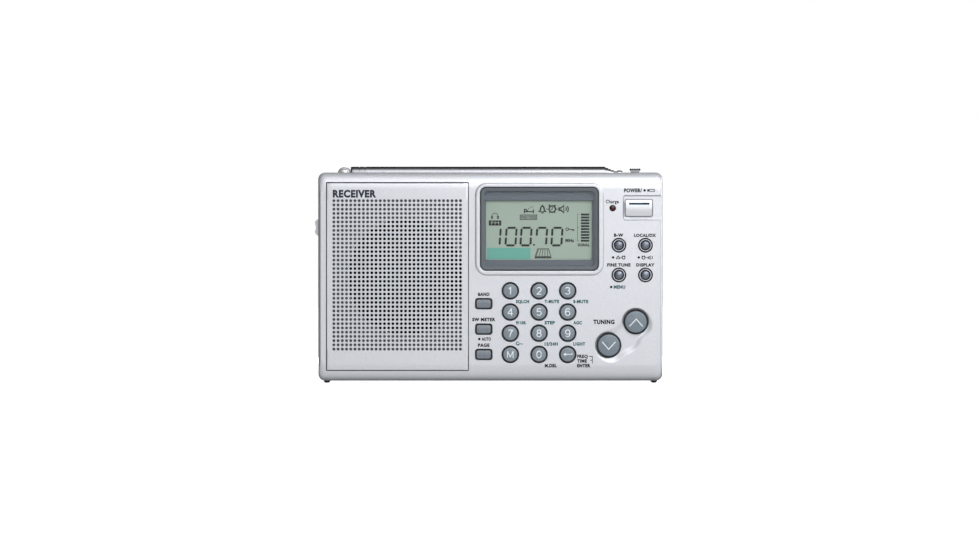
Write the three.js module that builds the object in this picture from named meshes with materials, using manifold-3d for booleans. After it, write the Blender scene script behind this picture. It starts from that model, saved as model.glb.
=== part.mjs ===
// A portable digital shortwave receiver that stands on its feet, with +Z up and its front
// face towards -Y. Lengths are in millimetres. Places are measured from the middle of the
// case in x and y, and from the underside of the feet in z.
import * as THREE from "three";
import { mergeVertices } from "three/addons/utils/BufferGeometryUtils.js";
import Module from "manifold-3d";

const wasm = await Module();
wasm.setup();

// ---------------------------------------------------------------- driving dimensions

const WIDTH = 161; // the case alone
const HEIGHT = 97.3;
const DEPTH = 33;
const FOOT = 1; // how far the feet hold the case off the table
const CORNER = 3.2; // corner radius of the case seen from the front
const SIDE_WALL = 2;
const FACE_WALL = 3.5; // the front face is thick enough for the speaker plate's recess
const GAP = 0.3; // clearance between pieces that meet

const RIGHT = WIDTH / 2;
const FACE = -DEPTH / 2;
const BACK = DEPTH / 2;
const BASE = FOOT;
const TOP = FOOT + HEIGHT;
const PARTING = -2; // y of the joint between the two half cases
const BEHIND_FACE = FACE + FACE_WALL;

// The front face rolls back along its top and bottom in a quarter of an ellipse.
const ROLL = { depth: 4.5, height: 7.9 };
const SIDE_BEVEL = 1.5;
const BACK_BEVEL = 3;

const SPEAKER = { x: -39.7, z: 49.6, r: 27.8 };
const PLATE = { x0: -76.8, x1: -10.05, z0: 5.6, z1: 93.8, thick: 1.5 };

const LCD_RIM = { x0: -7.05, x1: 53, z0: 50.25, z1: 93.35, r: 5.5, rise: 0.8 };
const LCD_HOLE = { x0: -5.3, x1: 50.6, z0: 52.7, z1: 91.5, r: 2.8 };
const LCD_VIEW = { x0: -2.05, x1: 47.5, z0: 57.45, z1: 85.1 };

const TRAVEL = 0.8; // of every push button
const KEY = { r: 3.5, gap: 0.5, rise: 0.9, flange: 4.6, crown: 0.1 };
const KEY_COLUMNS = [9.3, 22.7, 36.1];
const KEY_ROWS = [43, 33.1, 23.2, 13.3];
const KEY_NAMES = [
  ["key_1", "key_2", "key_3"],
  ["key_4", "key_5", "key_6"],
  ["key_7", "key_8", "key_9"],
  ["key_memory", "key_0", "key_enter"],
];
const BAR_KEY = { x: -3.1, w: 7, h: 4, r: 1, gap: 0.5, rise: 0.8 };
const BAR_KEYS = { band_key: 37, meter_key: 25.1, page_key: 13.3 };
const ROUND = { r: 2.95, gap: 0.45, rise: 0.7, flange: 3.9, crown: 0.1 };
const ROUND_BUTTONS = {
  bandwidth_button: [60, 64.3],
  local_dx_button: [72.4, 64.3],
  fine_tune_button: [60, 50.4],
  display_button: [72.4, 50.4],
};
const TUNING = { r: 5.3, gap: 0.4, rise: 1.3, flange: 6.2, dish: 0.5, crown: 0.15 };
const TUNING_BUTTONS = { tuning_up_button: [67.9, 28.5], tuning_down_button: [55.3, 17.6] };
const POWER = { x: 69.35, z: 81.7, w: 12.5, h: 7.6, r: 0.9, gap: 0.3, rise: 0.6 };
const POWER_NOTCH = { x0: 62, z0: 75.9, z1: 87.7, depth: 0.9 };
const LED = { x: 57.1, z: 81.6, r: 1.35 };

const WHEEL = { x: -74.3, z: 72.7, y: -6, tip: 8.2, valley: 7.4, thick: 3.6, lobes: 10 };
const LOCK = { x: 67.7, y: -7, top: 100.2, w: 5, stem: 3.8, d: 4, travel: 3 };

// The antenna lies in a step along the top of the back, open to the rear. Past the end of
// the step a round channel runs out of the right side, so that it can be drawn out.
const LEDGE = { y: 3.2, z: 92.9, x1: 64.2, channel: 3.4 };
const PIVOT = { x: -68.85, y: 8, z: 98.2 };
const SECTIONS = [
  { name: "antenna_section_1", r: 3.1, bore: 2.8, from: 11, to: 122.9 },
  { name: "antenna_section_2", r: 2.54, bore: 2.26, from: 18, to: 124.2 },
  { name: "antenna_section_3", r: 2, bore: 1.72, from: 20, to: 125.4 },
  { name: "antenna_section_4", r: 1.46, bore: 1.2, from: 22, to: 126.9 },
];
const TIP = { name: "antenna_section_5", r: 0.94, from: 24, to: 128.4, knob: 1.35, end: 131.2 };

const CELL = { r: 7.1, length: 50.4, nub: 1.2, pitch: 14.8, x0: 15.6, y: 6.9, z: 12 };
const BAY = { x0: 8, x1: 67.6, z0: 8.5, z1: 66.5, y: -0.6, wall: 2 };
const DOOR = { x0: 6.9, x1: 68.7, z1: 68, inner: 14.7, hingeY: 15.1, hingeZ: 6, nose: 1.4 };
const STAND = { x0: -64, x1: -16, z0: 8.6, inner: 14, outer: 16.3, hingeY: 15.1, hingeZ: 52.6 };
const STAND_POCKET = { x0: -64.4, x1: -15.6, z0: 6.2, z1: 54.2, y: 13.6 };
const SCREWS = [[-74, 12], [74, 12], [-57.5, 85], [75.2, 91.2]];
const BOSS = 3.4;

const KEY_BOARD_Y = -10.2; // front of the board that the keys press on
const MAIN_BOARD_Y = -5.6;

// ---------------------------------------------------------------- materials

function finish(color, roughness, metalness = 0) {
  return new THREE.MeshStandardMaterial({ color, roughness, metalness });
}

const SILVER = finish(0xc9ccd1, 0.38, 0.55);
const GREY_PLASTIC = finish(0x868c94, 0.45);
const DARK_PLASTIC = finish(0x5d646e, 0.4);
const BLACK_PLASTIC = finish(0x1b1c1f, 0.6);
const CHROME = finish(0xd5d7da, 0.12, 1);
const STEEL = finish(0x9a9da1, 0.35, 1);
const CLEAR = finish(0xdfe6e4, 0.05);
const LCD_GLASS = finish(0xa3b0a3, 0.25);
const RED_LENS = finish(0x5a1016, 0.2);
const RUBBER = finish(0x161617, 0.85);
const BOARD = finish(0x1f5a3a, 0.5);
const PAPER = finish(0x141414, 0.95);
const FERRITE = finish(0x2c2a2b, 0.7);
const CELL_WRAP = finish(0x3a6ea5, 0.35);

// ---------------------------------------------------------------- solids from geometry

// The manifold-3d solid of a closed three.js geometry.
function solid(geometry) {
  const bare = geometry.clone();
  bare.deleteAttribute("normal");
  bare.deleteAttribute("uv");
  const merged = mergeVertices(bare, 1e-4);
  return new wasm.Manifold(
    new wasm.Mesh({
      numProp: 3,
      vertProperties: merged.attributes.position.array,
      triVerts: new Uint32Array(merged.index.array),
    }),
  );
}

function geometryOf(body) {
  const mesh = body.getMesh();
  const geometry = new THREE.BufferGeometry();
  geometry.setAttribute("position", new THREE.BufferAttribute(mesh.vertProperties, 3));
  geometry.setIndex(new THREE.BufferAttribute(mesh.triVerts, 1));
  geometry.computeVertexNormals();
  return geometry;
}

const join = (...bodies) => bodies.reduce((a, b) => a.add(b));
const cut = (body, ...tools) => tools.reduce((a, b) => a.subtract(b), body);

// A rectangle with round corners, drawn in the x-z plane of the front view.
function roundedRect(x0, z0, x1, z1, r) {
  const shape = new THREE.Shape();
  shape.absarc(x1 - r, z0 + r, r, -Math.PI / 2, 0);
  shape.absarc(x1 - r, z1 - r, r, 0, Math.PI / 2);
  shape.absarc(x0 + r, z1 - r, r, Math.PI / 2, Math.PI);
  shape.absarc(x0 + r, z0 + r, r, Math.PI, (3 * Math.PI) / 2);
  shape.closePath();
  return shape;
}

function centredRect(w, h, r) {
  return roundedRect(-w / 2, -h / 2, w / 2, h / 2, r);
}

function polygon(points) {
  return new THREE.Shape(points.map(([a, b]) => new THREE.Vector2(a, b)));
}

// Extrudes a front-view shape from y0 to y1, with an optional round edge on both ends.
function slab(shape, y0, y1, edge = 0, curveSegments = 4) {
  const geometry = new THREE.ExtrudeGeometry(shape, {
    depth: y1 - y0 - 2 * edge,
    bevelEnabled: edge > 0,
    bevelThickness: edge,
    bevelSize: edge,
    bevelOffset: -edge,
    bevelSegments: 2,
    curveSegments,
  });
  geometry.translate(0, 0, edge);
  geometry.rotateX(Math.PI / 2); // the extrusion now runs towards -Y
  geometry.translate(0, y1, 0);
  return solid(geometry);
}

// Extrudes a side-view shape, drawn in the y-z plane, from x0 to x1.
function bar(shape, x0, x1, curveSegments = 3) {
  const geometry = new THREE.ExtrudeGeometry(shape, {
    depth: x1 - x0,
    bevelEnabled: false,
    curveSegments,
  });
  const toWorld = new THREE.Matrix4().makeBasis(
    new THREE.Vector3(0, 1, 0),
    new THREE.Vector3(0, 0, 1),
    new THREE.Vector3(1, 0, 0),
  );
  geometry.applyMatrix4(toWorld);
  geometry.translate(x0, 0, 0);
  return solid(geometry);
}

function block(x0, x1, y0, y1, z0, z1) {
  const geometry = new THREE.BoxGeometry(x1 - x0, y1 - y0, z1 - z0);
  geometry.translate((x0 + x1) / 2, (y0 + y1) / 2, (z0 + z1) / 2);
  return solid(geometry);
}

// Cylinders along Y, X and Z.
function rodY(x, z, r, y0, y1, segments = 16) {
  const geometry = new THREE.CylinderGeometry(r, r, y1 - y0, segments);
  geometry.translate(x, (y0 + y1) / 2, z);
  return solid(geometry);
}

function rodX(y, z, r, x0, x1, segments = 16) {
  const geometry = new THREE.CylinderGeometry(r, r, x1 - x0, segments);
  geometry.rotateZ(-Math.PI / 2);
  geometry.translate((x0 + x1) / 2, y, z);
  return solid(geometry);
}

function rodZ(x, y, r, z0, z1, segments = 16) {
  const geometry = new THREE.CylinderGeometry(r, r, z1 - z0, segments);
  geometry.rotateX(Math.PI / 2);
  geometry.translate(x, y, (z0 + z1) / 2);
  return solid(geometry);
}

// Turns a profile of [radius, y] points, from the front of its axis to the back.
function turned(profile, segments = 16) {
  const points = profile.map(([r, y]) => new THREE.Vector2(r, y));
  return solid(new THREE.LatheGeometry(points, segments));
}

const radio = new THREE.Group();

function add(parent, name, body, material, position = [0, 0, 0]) {
  const mesh = new THREE.Mesh(geometryOf(body), material);
  mesh.name = name;
  mesh.position.set(...position);
  parent.add(mesh);
  return mesh;
}

// ---------------------------------------------------------------- the case

// Side view of the front half: a flat face that rolls back above and below. It can be
// moved back, which gives the floor of a recess that follows the face.
function frontProfile(back = 0) {
  const face = FACE + back;
  const { depth, height } = ROLL;
  const pull = 1 - 0.5523; // where a cubic curve's controls lie to follow an ellipse
  const shape = new THREE.Shape();
  shape.moveTo(PARTING + back, BASE);
  shape.lineTo(face + depth, BASE);
  shape.bezierCurveTo(
    face + depth * pull, BASE, face, BASE + height * pull, face, BASE + height,
  );
  shape.lineTo(face, TOP - height);
  shape.bezierCurveTo(
    face, TOP - height * pull, face + depth * pull, TOP, face + depth, TOP,
  );
  shape.lineTo(PARTING + back, TOP);
  shape.closePath();
  return shape;
}

function frontSolid(back, x0, x1) {
  return bar(frontProfile(back), x0, x1, 8);
}

const caseOutline = roundedRect(-RIGHT, BASE, RIGHT, TOP, CORNER);

// The shallow dish that both tuning buttons sit in: a disc round each, and a wide lobe
// that bulges towards the lower right corner.
function tuningDish() {
  const rim = TUNING.r + 1.7;
  const places = Object.values(TUNING_BUTTONS);
  const discs = places.map(([x, z]) => rodY(x, z, rim, FACE - 1, FACE + TUNING.dish, 20));
  const [[upX, upZ], [downX, downZ]] = places;
  const along = Math.atan2(upZ - downZ, upX - downX);
  const reach = Math.hypot(upX - downX, upZ - downZ) / 2;
  const bulge = 10;
  const lobe = new THREE.Shape();
  lobe.moveTo(-reach, 4.3);
  lobe.lineTo(-reach, -rim);
  lobe.quadraticCurveTo(0, -rim - (bulge - rim) * 2, reach, -rim);
  lobe.lineTo(reach, 4.3);
  lobe.closePath();
  const geometry = new THREE.ExtrudeGeometry(lobe, {
    depth: TUNING.dish + 1,
    bevelEnabled: false,
    curveSegments: 6,
  });
  geometry.rotateZ(along);
  geometry.rotateX(Math.PI / 2);
  geometry.translate((upX + downX) / 2, FACE + TUNING.dish, (upZ + downZ) / 2);
  return join(solid(geometry), ...discs);
}

function faceHoles() {
  const holes = [];
  const through = [FACE - 2, BEHIND_FACE + 1];
  for (const x of KEY_COLUMNS)
    for (const z of KEY_ROWS) holes.push(rodY(x, z, KEY.r + KEY.gap, ...through, 14));
  for (const z of Object.values(BAR_KEYS)) {
    const w = BAR_KEY.w / 2 + BAR_KEY.gap;
    const h = BAR_KEY.h / 2 + BAR_KEY.gap;
    const outline = roundedRect(BAR_KEY.x - w, z - h, BAR_KEY.x + w, z + h, BAR_KEY.r + 0.3);
    holes.push(slab(outline, ...through, 0, 3));
  }
  for (const [x, z] of Object.values(ROUND_BUTTONS))
    holes.push(rodY(x, z, ROUND.r + ROUND.gap, ...through, 14));
  for (const [x, z] of Object.values(TUNING_BUTTONS))
    holes.push(rodY(x, z, TUNING.r + TUNING.gap, ...through, 18));
  const w = POWER.w / 2 + POWER.gap;
  const h = POWER.h / 2 + POWER.gap;
  const power = roundedRect(POWER.x - w, POWER.z - h, POWER.x + w, POWER.z + h, POWER.r + 0.2);
  holes.push(slab(power, ...through, 0, 3));
  holes.push(rodY(LED.x, LED.z, LED.r + 0.15, ...through, 12));
  holes.push(rodY(SPEAKER.x, SPEAKER.z, SPEAKER.r, ...through, 28));
  return holes;
}

function frontCabinet() {
  const outer = slab(caseOutline, FACE, BACK, SIDE_BEVEL).intersect(
    frontSolid(0, -RIGHT - 1, RIGHT + 1),
  );
  const inside = roundedRect(
    -RIGHT + SIDE_WALL, BASE + SIDE_WALL, RIGHT - SIDE_WALL, TOP - SIDE_WALL, 1.4,
  );
  const hollow = slab(inside, BEHIND_FACE, BACK);
  const plateSeat = cut(
    block(PLATE.x0, PLATE.x1, FACE - 1, PARTING, PLATE.z0, PLATE.z1),
    frontSolid(PLATE.thick + GAP, -RIGHT, RIGHT),
  );
  const r = LCD_RIM;
  const rim = slab(
    roundedRect(r.x0, r.z0, r.x1, r.z1, r.r), FACE - r.rise, FACE + 3.2, 0.7, 4,
  );
  const h = LCD_HOLE;
  const window = slab(roundedRect(h.x0, h.z0, h.x1, h.z1, h.r), FACE - 3, BEHIND_FACE + 1);
  const n = POWER_NOTCH;
  const notch = block(n.x0, RIGHT + 1, FACE - 1, FACE + n.depth, n.z0, n.z1);
  const halfSlot = WHEEL.thick / 2 + GAP;
  const wheelSlot = rodY(
    WHEEL.x, WHEEL.z, WHEEL.tip + GAP, WHEEL.y - halfSlot, WHEEL.y + halfSlot, 36,
  );
  const lockSlot = block(
    LOCK.x - LOCK.stem / 2 - LOCK.travel - GAP, LOCK.x + LOCK.stem / 2 + GAP,
    LOCK.y - 1.6, LOCK.y + 1.6, TOP - SIDE_WALL - 1, TOP + 1,
  );
  const bosses = SCREWS.map(([x, z]) =>
    cut(
      rodY(x, z, BOSS, BEHIND_FACE - 0.5, PARTING, 14),
      rodY(x, z, 1.6, BEHIND_FACE + 1, PARTING + 1, 10),
    ).intersect(frontSolid(0, -RIGHT + 0.5, RIGHT - 0.5)),
  );
  const shell = cut(outer, hollow);
  return cut(
    join(shell, rim.subtract(hollow), ...bosses),
    window, plateSeat, notch, wheelSlot, lockSlot, tuningDish(), ...faceHoles(),
  );
}

// The plate over the speaker follows the face and lies flush in its recess.
function speakerGrille() {
  const { x0, x1, z0, z1, thick } = PLATE;
  const gap = 0.25;
  const region = block(x0 + gap, x1 - gap, FACE - 1, PARTING - 4, z0 + gap, z1 - gap);
  const skin = frontSolid(0, -RIGHT, RIGHT);
  return cut(region.intersect(skin), frontSolid(thick, -RIGHT - 1, RIGHT + 1));
}

function rearCabinet() {
  const start = PARTING + GAP;
  const outer = slab(caseOutline, FACE, BACK, BACK_BEVEL).intersect(
    block(-RIGHT - 1, RIGHT + 1, start, BACK + 1, 0, TOP + 1),
  );
  const ledge = block(-RIGHT - 1, LEDGE.x1, LEDGE.y, BACK + 1, LEDGE.z, TOP + 1);
  const channel = join(
    rodX(PIVOT.y, PIVOT.z, LEDGE.channel, LEDGE.x1 - 1, RIGHT + 1, 20),
    block(
      LEDGE.x1 - 1, RIGHT + 1, PIVOT.y - LEDGE.channel, PIVOT.y + LEDGE.channel,
      PIVOT.z, TOP + 1,
    ),
  );
  const inner = BACK - SIDE_WALL;
  const ledgeFloor = LEDGE.z - SIDE_WALL;
  const ledgeWall = LEDGE.y - SIDE_WALL;
  const hollow = bar(
    polygon([
      [start - 1, BASE + SIDE_WALL], [inner, BASE + SIDE_WALL], [inner, ledgeFloor],
      [ledgeWall, ledgeFloor], [ledgeWall, TOP - SIDE_WALL], [start - 1, TOP - SIDE_WALL],
    ]),
    -RIGHT + SIDE_WALL, RIGHT - SIDE_WALL,
  );

  const b = BAY;
  const bayWalls = block(
    b.x0 - b.wall, b.x1 + b.wall, b.y - b.wall, inner + 0.1, b.z0 - b.wall, b.z1 + b.wall,
  );
  const bay = block(b.x0, b.x1, b.y, BACK + 1, b.z0, b.z1);
  const doorSeat = block(
    DOOR.x0 - GAP, DOOR.x1 + GAP, DOOR.inner - GAP, BACK + 1, DOOR.hingeZ, DOOR.z1 + GAP,
  );
  const doorNose = rodX(
    DOOR.hingeY, DOOR.hingeZ, DOOR.nose + GAP, DOOR.x0 - GAP, DOOR.x1 + GAP, 20,
  );
  const noseMouth = block(
    DOOR.x0 - GAP, DOOR.x1 + GAP, DOOR.hingeY, BACK + 1,
    DOOR.hingeZ - DOOR.nose - GAP, DOOR.hingeZ,
  );
  const doorPins = rodX(DOOR.hingeY, DOOR.hingeZ, 0.8, DOOR.x0 - 1.6, DOOR.x1 + 1.6, 12);
  const doorBacking = block(
    DOOR.x0 - 2.4, DOOR.x1 + 2.4, 12.4, inner + 0.1, BASE + 1, DOOR.hingeZ + 2.4,
  );

  const p = STAND_POCKET;
  const pocketWalls = block(p.x0 - 2.4, p.x1 + 2.4, p.y - 1.5, inner + 0.1, p.z0 - 2, p.z1 + 2);
  const pocket = block(p.x0, p.x1, p.y, BACK + 1, p.z0, p.z1);
  const standPins = rodX(STAND.hingeY, STAND.hingeZ, 0.95, STAND.x0 - 1.8, STAND.x1 + 1.8, 12);

  const bosses = SCREWS.map(([x, z]) =>
    rodY(x, z, BOSS, start, inner + 0.1, 14).intersect(outer),
  );
  const screwHoles = SCREWS.flatMap(([x, z]) => [
    rodY(x, z, 1.7, start - 1, BACK, 10),
    rodY(x, z, 3.1, 13.6, BACK + 1, 16),
  ]);
  const swivelBoss = rodZ(PIVOT.x, PIVOT.y, 6.4, ledgeFloor - 2, ledgeFloor + 0.1, 20);
  const swivelSeat = rodZ(PIVOT.x, PIVOT.y, 4.7, LEDGE.z - 1.5, LEDGE.z + 1, 24);
  const swivelHole = rodZ(PIVOT.x, PIVOT.y, 2.5, ledgeFloor - 3, LEDGE.z, 16);
  const jackHoles = JACKS.map(({ z, hole }) =>
    rodX(JACK_Y, z, hole, -RIGHT - 1, -RIGHT + SIDE_WALL + 1, 18),
  );

  const ribs = join(bayWalls, doorBacking, pocketWalls, swivelBoss, ...bosses).intersect(outer);
  return cut(
    join(cut(outer, hollow, ledge), ribs.subtract(ledge)),
    channel, bay, doorSeat, doorNose, noseMouth, doorPins, pocket, standPins,
    ...screwHoles, swivelSeat, swivelHole, ...jackHoles,
  );
}

// A strip along each lower edge, narrower where it meets the table.
function foot(x) {
  const outline = polygon([[x - 1.5, BASE], [x - 0.7, 0], [x + 0.7, 0], [x + 1.5, BASE]]);
  return slab(outline, -11.5, 12.5);
}

function caseScrew() {
  const body = turned(
    [[0, -9], [1.3, -8], [1.3, 13.9], [2.8, 13.9], [2.8, 15.6], [2.4, 15.9], [0, 16]], 12,
  );
  const cross = [[1.6, 0.35], [0.35, 1.6]].map(([w, h]) => block(-w, w, 15.2, 17, -h, h));
  return cut(body, ...cross);
}

// ---------------------------------------------------------------- display

function lcdBezel() {
  const h = LCD_HOLE;
  const v = LCD_VIEW;
  const frame = slab(
    roundedRect(h.x0 + GAP, h.z0 + GAP, h.x1 - GAP, h.z1 - GAP, h.r - GAP), FACE - 0.2, -14.2,
  );
  const seat = slab(
    roundedRect(h.x0 + 1.9, h.z0 + 1.9, h.x1 - 1.9, h.z1 - 1.9, 1.4), FACE - 1, -15.2,
  );
  return cut(frame, seat, block(v.x0, v.x1, FACE, -14, v.z0, v.z1));
}

function lcdWindow() {
  const h = LCD_HOLE;
  const inset = 1.9 + 0.25;
  return slab(
    roundedRect(h.x0 + inset, h.z0 + inset, h.x1 - inset, h.z1 - inset, 1.2), -16.3, -15.5,
  );
}

function lcdPanel() {
  const v = LCD_VIEW;
  return block(v.x0 - 2.2, v.x1 + 2.2, -13.9, -11.3, v.z0 - 3.2, v.z1 + 3.6);
}

// ---------------------------------------------------------------- buttons

// Every button is guided by its hole, has a flange behind the face that keeps it in, and
// a stem that ends over its switch on the key board.
const FLANGE = { front: BEHIND_FACE + 0.4, back: BEHIND_FACE + 1.1 };
const STEM_END = KEY_BOARD_Y - 0.5 - TRAVEL - 0.1;

function roundButton({ r, rise, flange, crown }, segments) {
  const front = FACE - rise;
  return turned(
    [
      [0, front - crown], [r - 0.35, front], [r, front + 0.35],
      [r, FLANGE.front], [flange, FLANGE.front], [flange, FLANGE.back], [1.5, FLANGE.back],
      [1.5, STEM_END], [0, STEM_END],
    ],
    segments,
  );
}

function barButton({ w, h, r, rise }, edge) {
  const cap = slab(centredRect(w, h, r), FACE - rise, FLANGE.front + edge, edge, 2);
  const flange = slab(centredRect(w + 2.2, h + 2, r), FLANGE.front, FLANGE.back, 0, 2);
  return join(cap, flange, rodY(0, 0, 1.5, FLANGE.back - 0.2, STEM_END, 8));
}

function buttons() {
  const keypad = new THREE.Group();
  const keyBody = roundButton(KEY, 12);
  KEY_NAMES.forEach((row, i) =>
    row.forEach((name, j) =>
      add(keypad, name, keyBody, GREY_PLASTIC, [KEY_COLUMNS[j], 0, KEY_ROWS[i]]),
    ),
  );
  const barBody = barButton(BAR_KEY, 0.4);
  for (const [name, z] of Object.entries(BAR_KEYS))
    add(keypad, name, barBody, GREY_PLASTIC, [BAR_KEY.x, 0, z]);
  const roundBody = roundButton(ROUND, 12);
  for (const [name, [x, z]] of Object.entries(ROUND_BUTTONS))
    add(keypad, name, roundBody, GREY_PLASTIC, [x, 0, z]);
  const tuningBody = roundButton(TUNING, 16);
  for (const [name, [x, z]] of Object.entries(TUNING_BUTTONS))
    add(keypad, name, tuningBody, GREY_PLASTIC, [x, 0, z]);
  add(keypad, "power_button", barButton(POWER, 0.4), SILVER, [POWER.x, 0, POWER.z]);
  return keypad;
}

function chargeLed() {
  const { r } = LED;
  return turned(
    [
      [0, FACE - 0.2], [r * 0.6, FACE - 0.05], [r, FACE + 0.4], [r, BEHIND_FACE + 0.6],
      [r + 0.4, BEHIND_FACE + 0.6], [r + 0.4, BEHIND_FACE + 1.6], [0, BEHIND_FACE + 1.6],
    ],
    12,
  );
}

// ---------------------------------------------------------------- volume and lock

function volumeWheel() {
  const shape = new THREE.Shape();
  const stepsPerLobe = 6;
  const steps = WHEEL.lobes * stepsPerLobe;
  const mean = (WHEEL.tip + WHEEL.valley) / 2;
  const swing = (WHEEL.tip - WHEEL.valley) / 2;
  for (let i = 0; i < steps; i++) {
    const turn = (2 * Math.PI * i) / steps;
    const r = mean - swing * Math.cos(WHEEL.lobes * turn); // a valley faces -X and +X
    const x = r * Math.cos(turn);
    const z = r * Math.sin(turn);
    if (i) shape.lineTo(x, z);
    else shape.moveTo(x, z);
  }
  shape.closePath();
  const half = WHEEL.thick / 2;
  return cut(slab(shape, -half, half), rodY(0, 0, 1.75, -half - 1, half + 1, 14));
}

function volumePot() {
  const body = rodY(WHEEL.x, WHEEL.z, 3.9, WHEEL.y + WHEEL.thick / 2 + 0.4, 1, 18);
  const shaft = rodY(WHEEL.x, WHEEL.z, 1.5, WHEEL.y - 1.2, 0, 12);
  const lugs = block(WHEEL.x - 4, WHEEL.x + 4, -2.6, -1.6, WHEEL.z - 9, WHEEL.z);
  return join(body, shaft, lugs);
}

// A slider with a flared cap above the case and a foot that holds it in its slot.
function lockSwitch() {
  const { w, stem, d, top } = LOCK;
  const cap = polygon([
    [-stem / 2, TOP + 0.3], [-w / 2, top - 0.9], [-w / 2, top - 0.15], [-w / 2 + 0.25, top],
    [w / 2 - 0.25, top], [w / 2, top - 0.15], [w / 2, top - 0.9], [stem / 2, TOP + 0.3],
  ]);
  return join(
    slab(cap, -d / 2, d / 2),
    block(-stem / 2, stem / 2, -1.3, 1.3, TOP - 3.4, TOP + 0.4),
    block(-stem / 2 - 0.9, stem / 2 + 0.9, -2, 2, TOP - 3.4, TOP - SIDE_WALL - 0.4),
  );
}

// ---------------------------------------------------------------- telescopic antenna

// Everything here is measured from the elbow's pin, with the antenna lying along +X.
const EAR = { r: 2.75, inner: 1.7, outer: 3.1 };
const TONGUE = { r: 2.6, half: 1.4 };
const FERRULE_START = 3.3;
const SWIVEL_TOP = LEDGE.z + 0.3 - PIVOT.z;

function antennaSwivel() {
  const base = rodZ(0, 0, 4.4, LEDGE.z - 1.2 - PIVOT.z, SWIVEL_TOP, 24);
  const shaft = rodZ(0, 0, 2.2, LEDGE.z - 6 - PIVOT.z, LEDGE.z - 1 - PIVOT.z, 16);
  const nut = rodZ(0, 0, 3.6, LEDGE.z - 6.4 - PIVOT.z, LEDGE.z - 4.4 - PIVOT.z, 6);
  const arch = new THREE.Shape();
  arch.moveTo(-EAR.r, SWIVEL_TOP - 0.2);
  arch.lineTo(EAR.r, SWIVEL_TOP - 0.2);
  arch.lineTo(EAR.r, 0);
  arch.absarc(0, 0, EAR.r, 0, Math.PI);
  arch.closePath();
  const ears = [-1, 1].map((side) => {
    const [a, b] = side < 0 ? [-EAR.outer, -EAR.inner] : [EAR.inner, EAR.outer];
    return slab(arch, a, b, 0, 8);
  });
  return cut(join(base, shaft, nut, ...ears), rodY(0, 0, 1.3, -5, 5, 12));
}

function pivotScrew() {
  const pin = turned(
    [
      [0, -4.3], [1.5, -4.3], [1.9, -3.9], [1.9, -3.2], [1.05, -3.2], [1.05, 3.2],
      [1.8, 3.2], [1.8, 3.6], [1.4, 3.9], [0, 3.9],
    ],
    14,
  );
  return pin.subtract(block(-3, 3, -5, -3.8, -0.25, 0.25));
}

// A turned piece along +X: its profile is [distance along X, radius], both ends on the axis.
function turnedAlongX(profile, segments = 12) {
  const points = profile.map(([x, r]) => new THREE.Vector2(r, x));
  const geometry = new THREE.LatheGeometry(points, segments);
  geometry.rotateZ(-Math.PI / 2);
  return solid(geometry);
}

// The widest section carries the ferrule with two ring grooves and the elbow's tongue.
function antennaBase({ r, bore, from, to }) {
  const barrel = turnedAlongX([
    [FERRULE_START, 0], [FERRULE_START, r - 0.4],
    [FERRULE_START + 0.5, r - 0.4], [FERRULE_START + 0.6, r],
    [6.9, r], [7.1, r - 0.3], [7.5, r - 0.3], [7.7, r],
    [9.6, r], [9.8, r - 0.3], [10.2, r - 0.3], [10.4, r],
    [to - 0.4, r], [to, r - 0.2], [to, 0],
  ]);
  const tongue = slab(
    roundedRect(-TONGUE.r, -TONGUE.r, FERRULE_START + 0.5, TONGUE.r, TONGUE.r - 0.01),
    -TONGUE.half, TONGUE.half, 0, 6,
  );
  const neck = block(0, FERRULE_START + 0.5, -TONGUE.half, TONGUE.half, -2.1, 2.1);
  return cut(
    join(barrel, tongue, neck),
    rodX(0, 0, bore, from, to + 1, 12),
    rodY(0, 0, 1.3, -5, 5, 12),
  );
}

function antennaTube({ r, bore, from, to }) {
  const barrel = turnedAlongX([
    [from, 0], [from, r], [to - 0.3, r], [to, r - 0.15], [to, 0],
  ]);
  return barrel.subtract(rodX(0, 0, bore, from - 1, to + 1, 12));
}

function antennaTip({ r, knob, from, to, end }) {
  return turnedAlongX([
    [from, 0], [from, r], [to, r], [to, knob - 0.2], [to + 0.3, knob],
    [end - 0.8, knob], [end - 0.2, knob * 0.6], [end, 0],
  ]);
}

function antenna() {
  const group = new THREE.Group();
  group.position.set(PIVOT.x, PIVOT.y, PIVOT.z);
  add(group, "antenna_swivel", antennaSwivel(), CHROME);
  add(group, "antenna_pivot_screw", pivotScrew(), STEEL);
  const [first, ...rest] = SECTIONS;
  add(group, first.name, antennaBase(first), CHROME);
  for (const section of rest) add(group, section.name, antennaTube(section), CHROME);
  add(group, TIP.name, antennaTip(TIP), CHROME);
  return group;
}

// ---------------------------------------------------------------- back: stand and door

// Both swing on a round nose along one edge, with a pin at each end.
function standPlate() {
  const { x0, x1, z0, inner, outer, hingeY, hingeZ } = STAND;
  const plate = block(x0, x1, inner, outer, z0, hingeZ);
  const nose = rodX(hingeY, hingeZ, outer - hingeY, x0, x1, 16);
  const pins = rodX(hingeY, hingeZ, 0.7, x0 - 1.3, x1 + 1.3, 10);
  const relief = block(x0 + 6, x1 - 6, inner - 1, inner + 0.8, z0 + 5, hingeZ - 6);
  return cut(join(plate, nose, pins), relief);
}

function batteryDoor() {
  const { x0, x1, z1, inner, hingeY, hingeZ, nose } = DOOR;
  const plate = block(x0, x1, inner, BACK, hingeZ, z1);
  const edge = rodX(hingeY, hingeZ, nose, x0, x1, 16);
  const pins = rodX(hingeY, hingeZ, 0.55, x0 - 1.2, x1 + 1.2, 10);
  const middle = (x0 + x1) / 2;
  const grip = block(middle - 9, middle + 9, BACK - 0.7, BACK + 1, z1 - 6.5, z1 - 2.5);
  return cut(join(plate, edge, pins), grip);
}

// ---------------------------------------------------------------- inside

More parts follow.
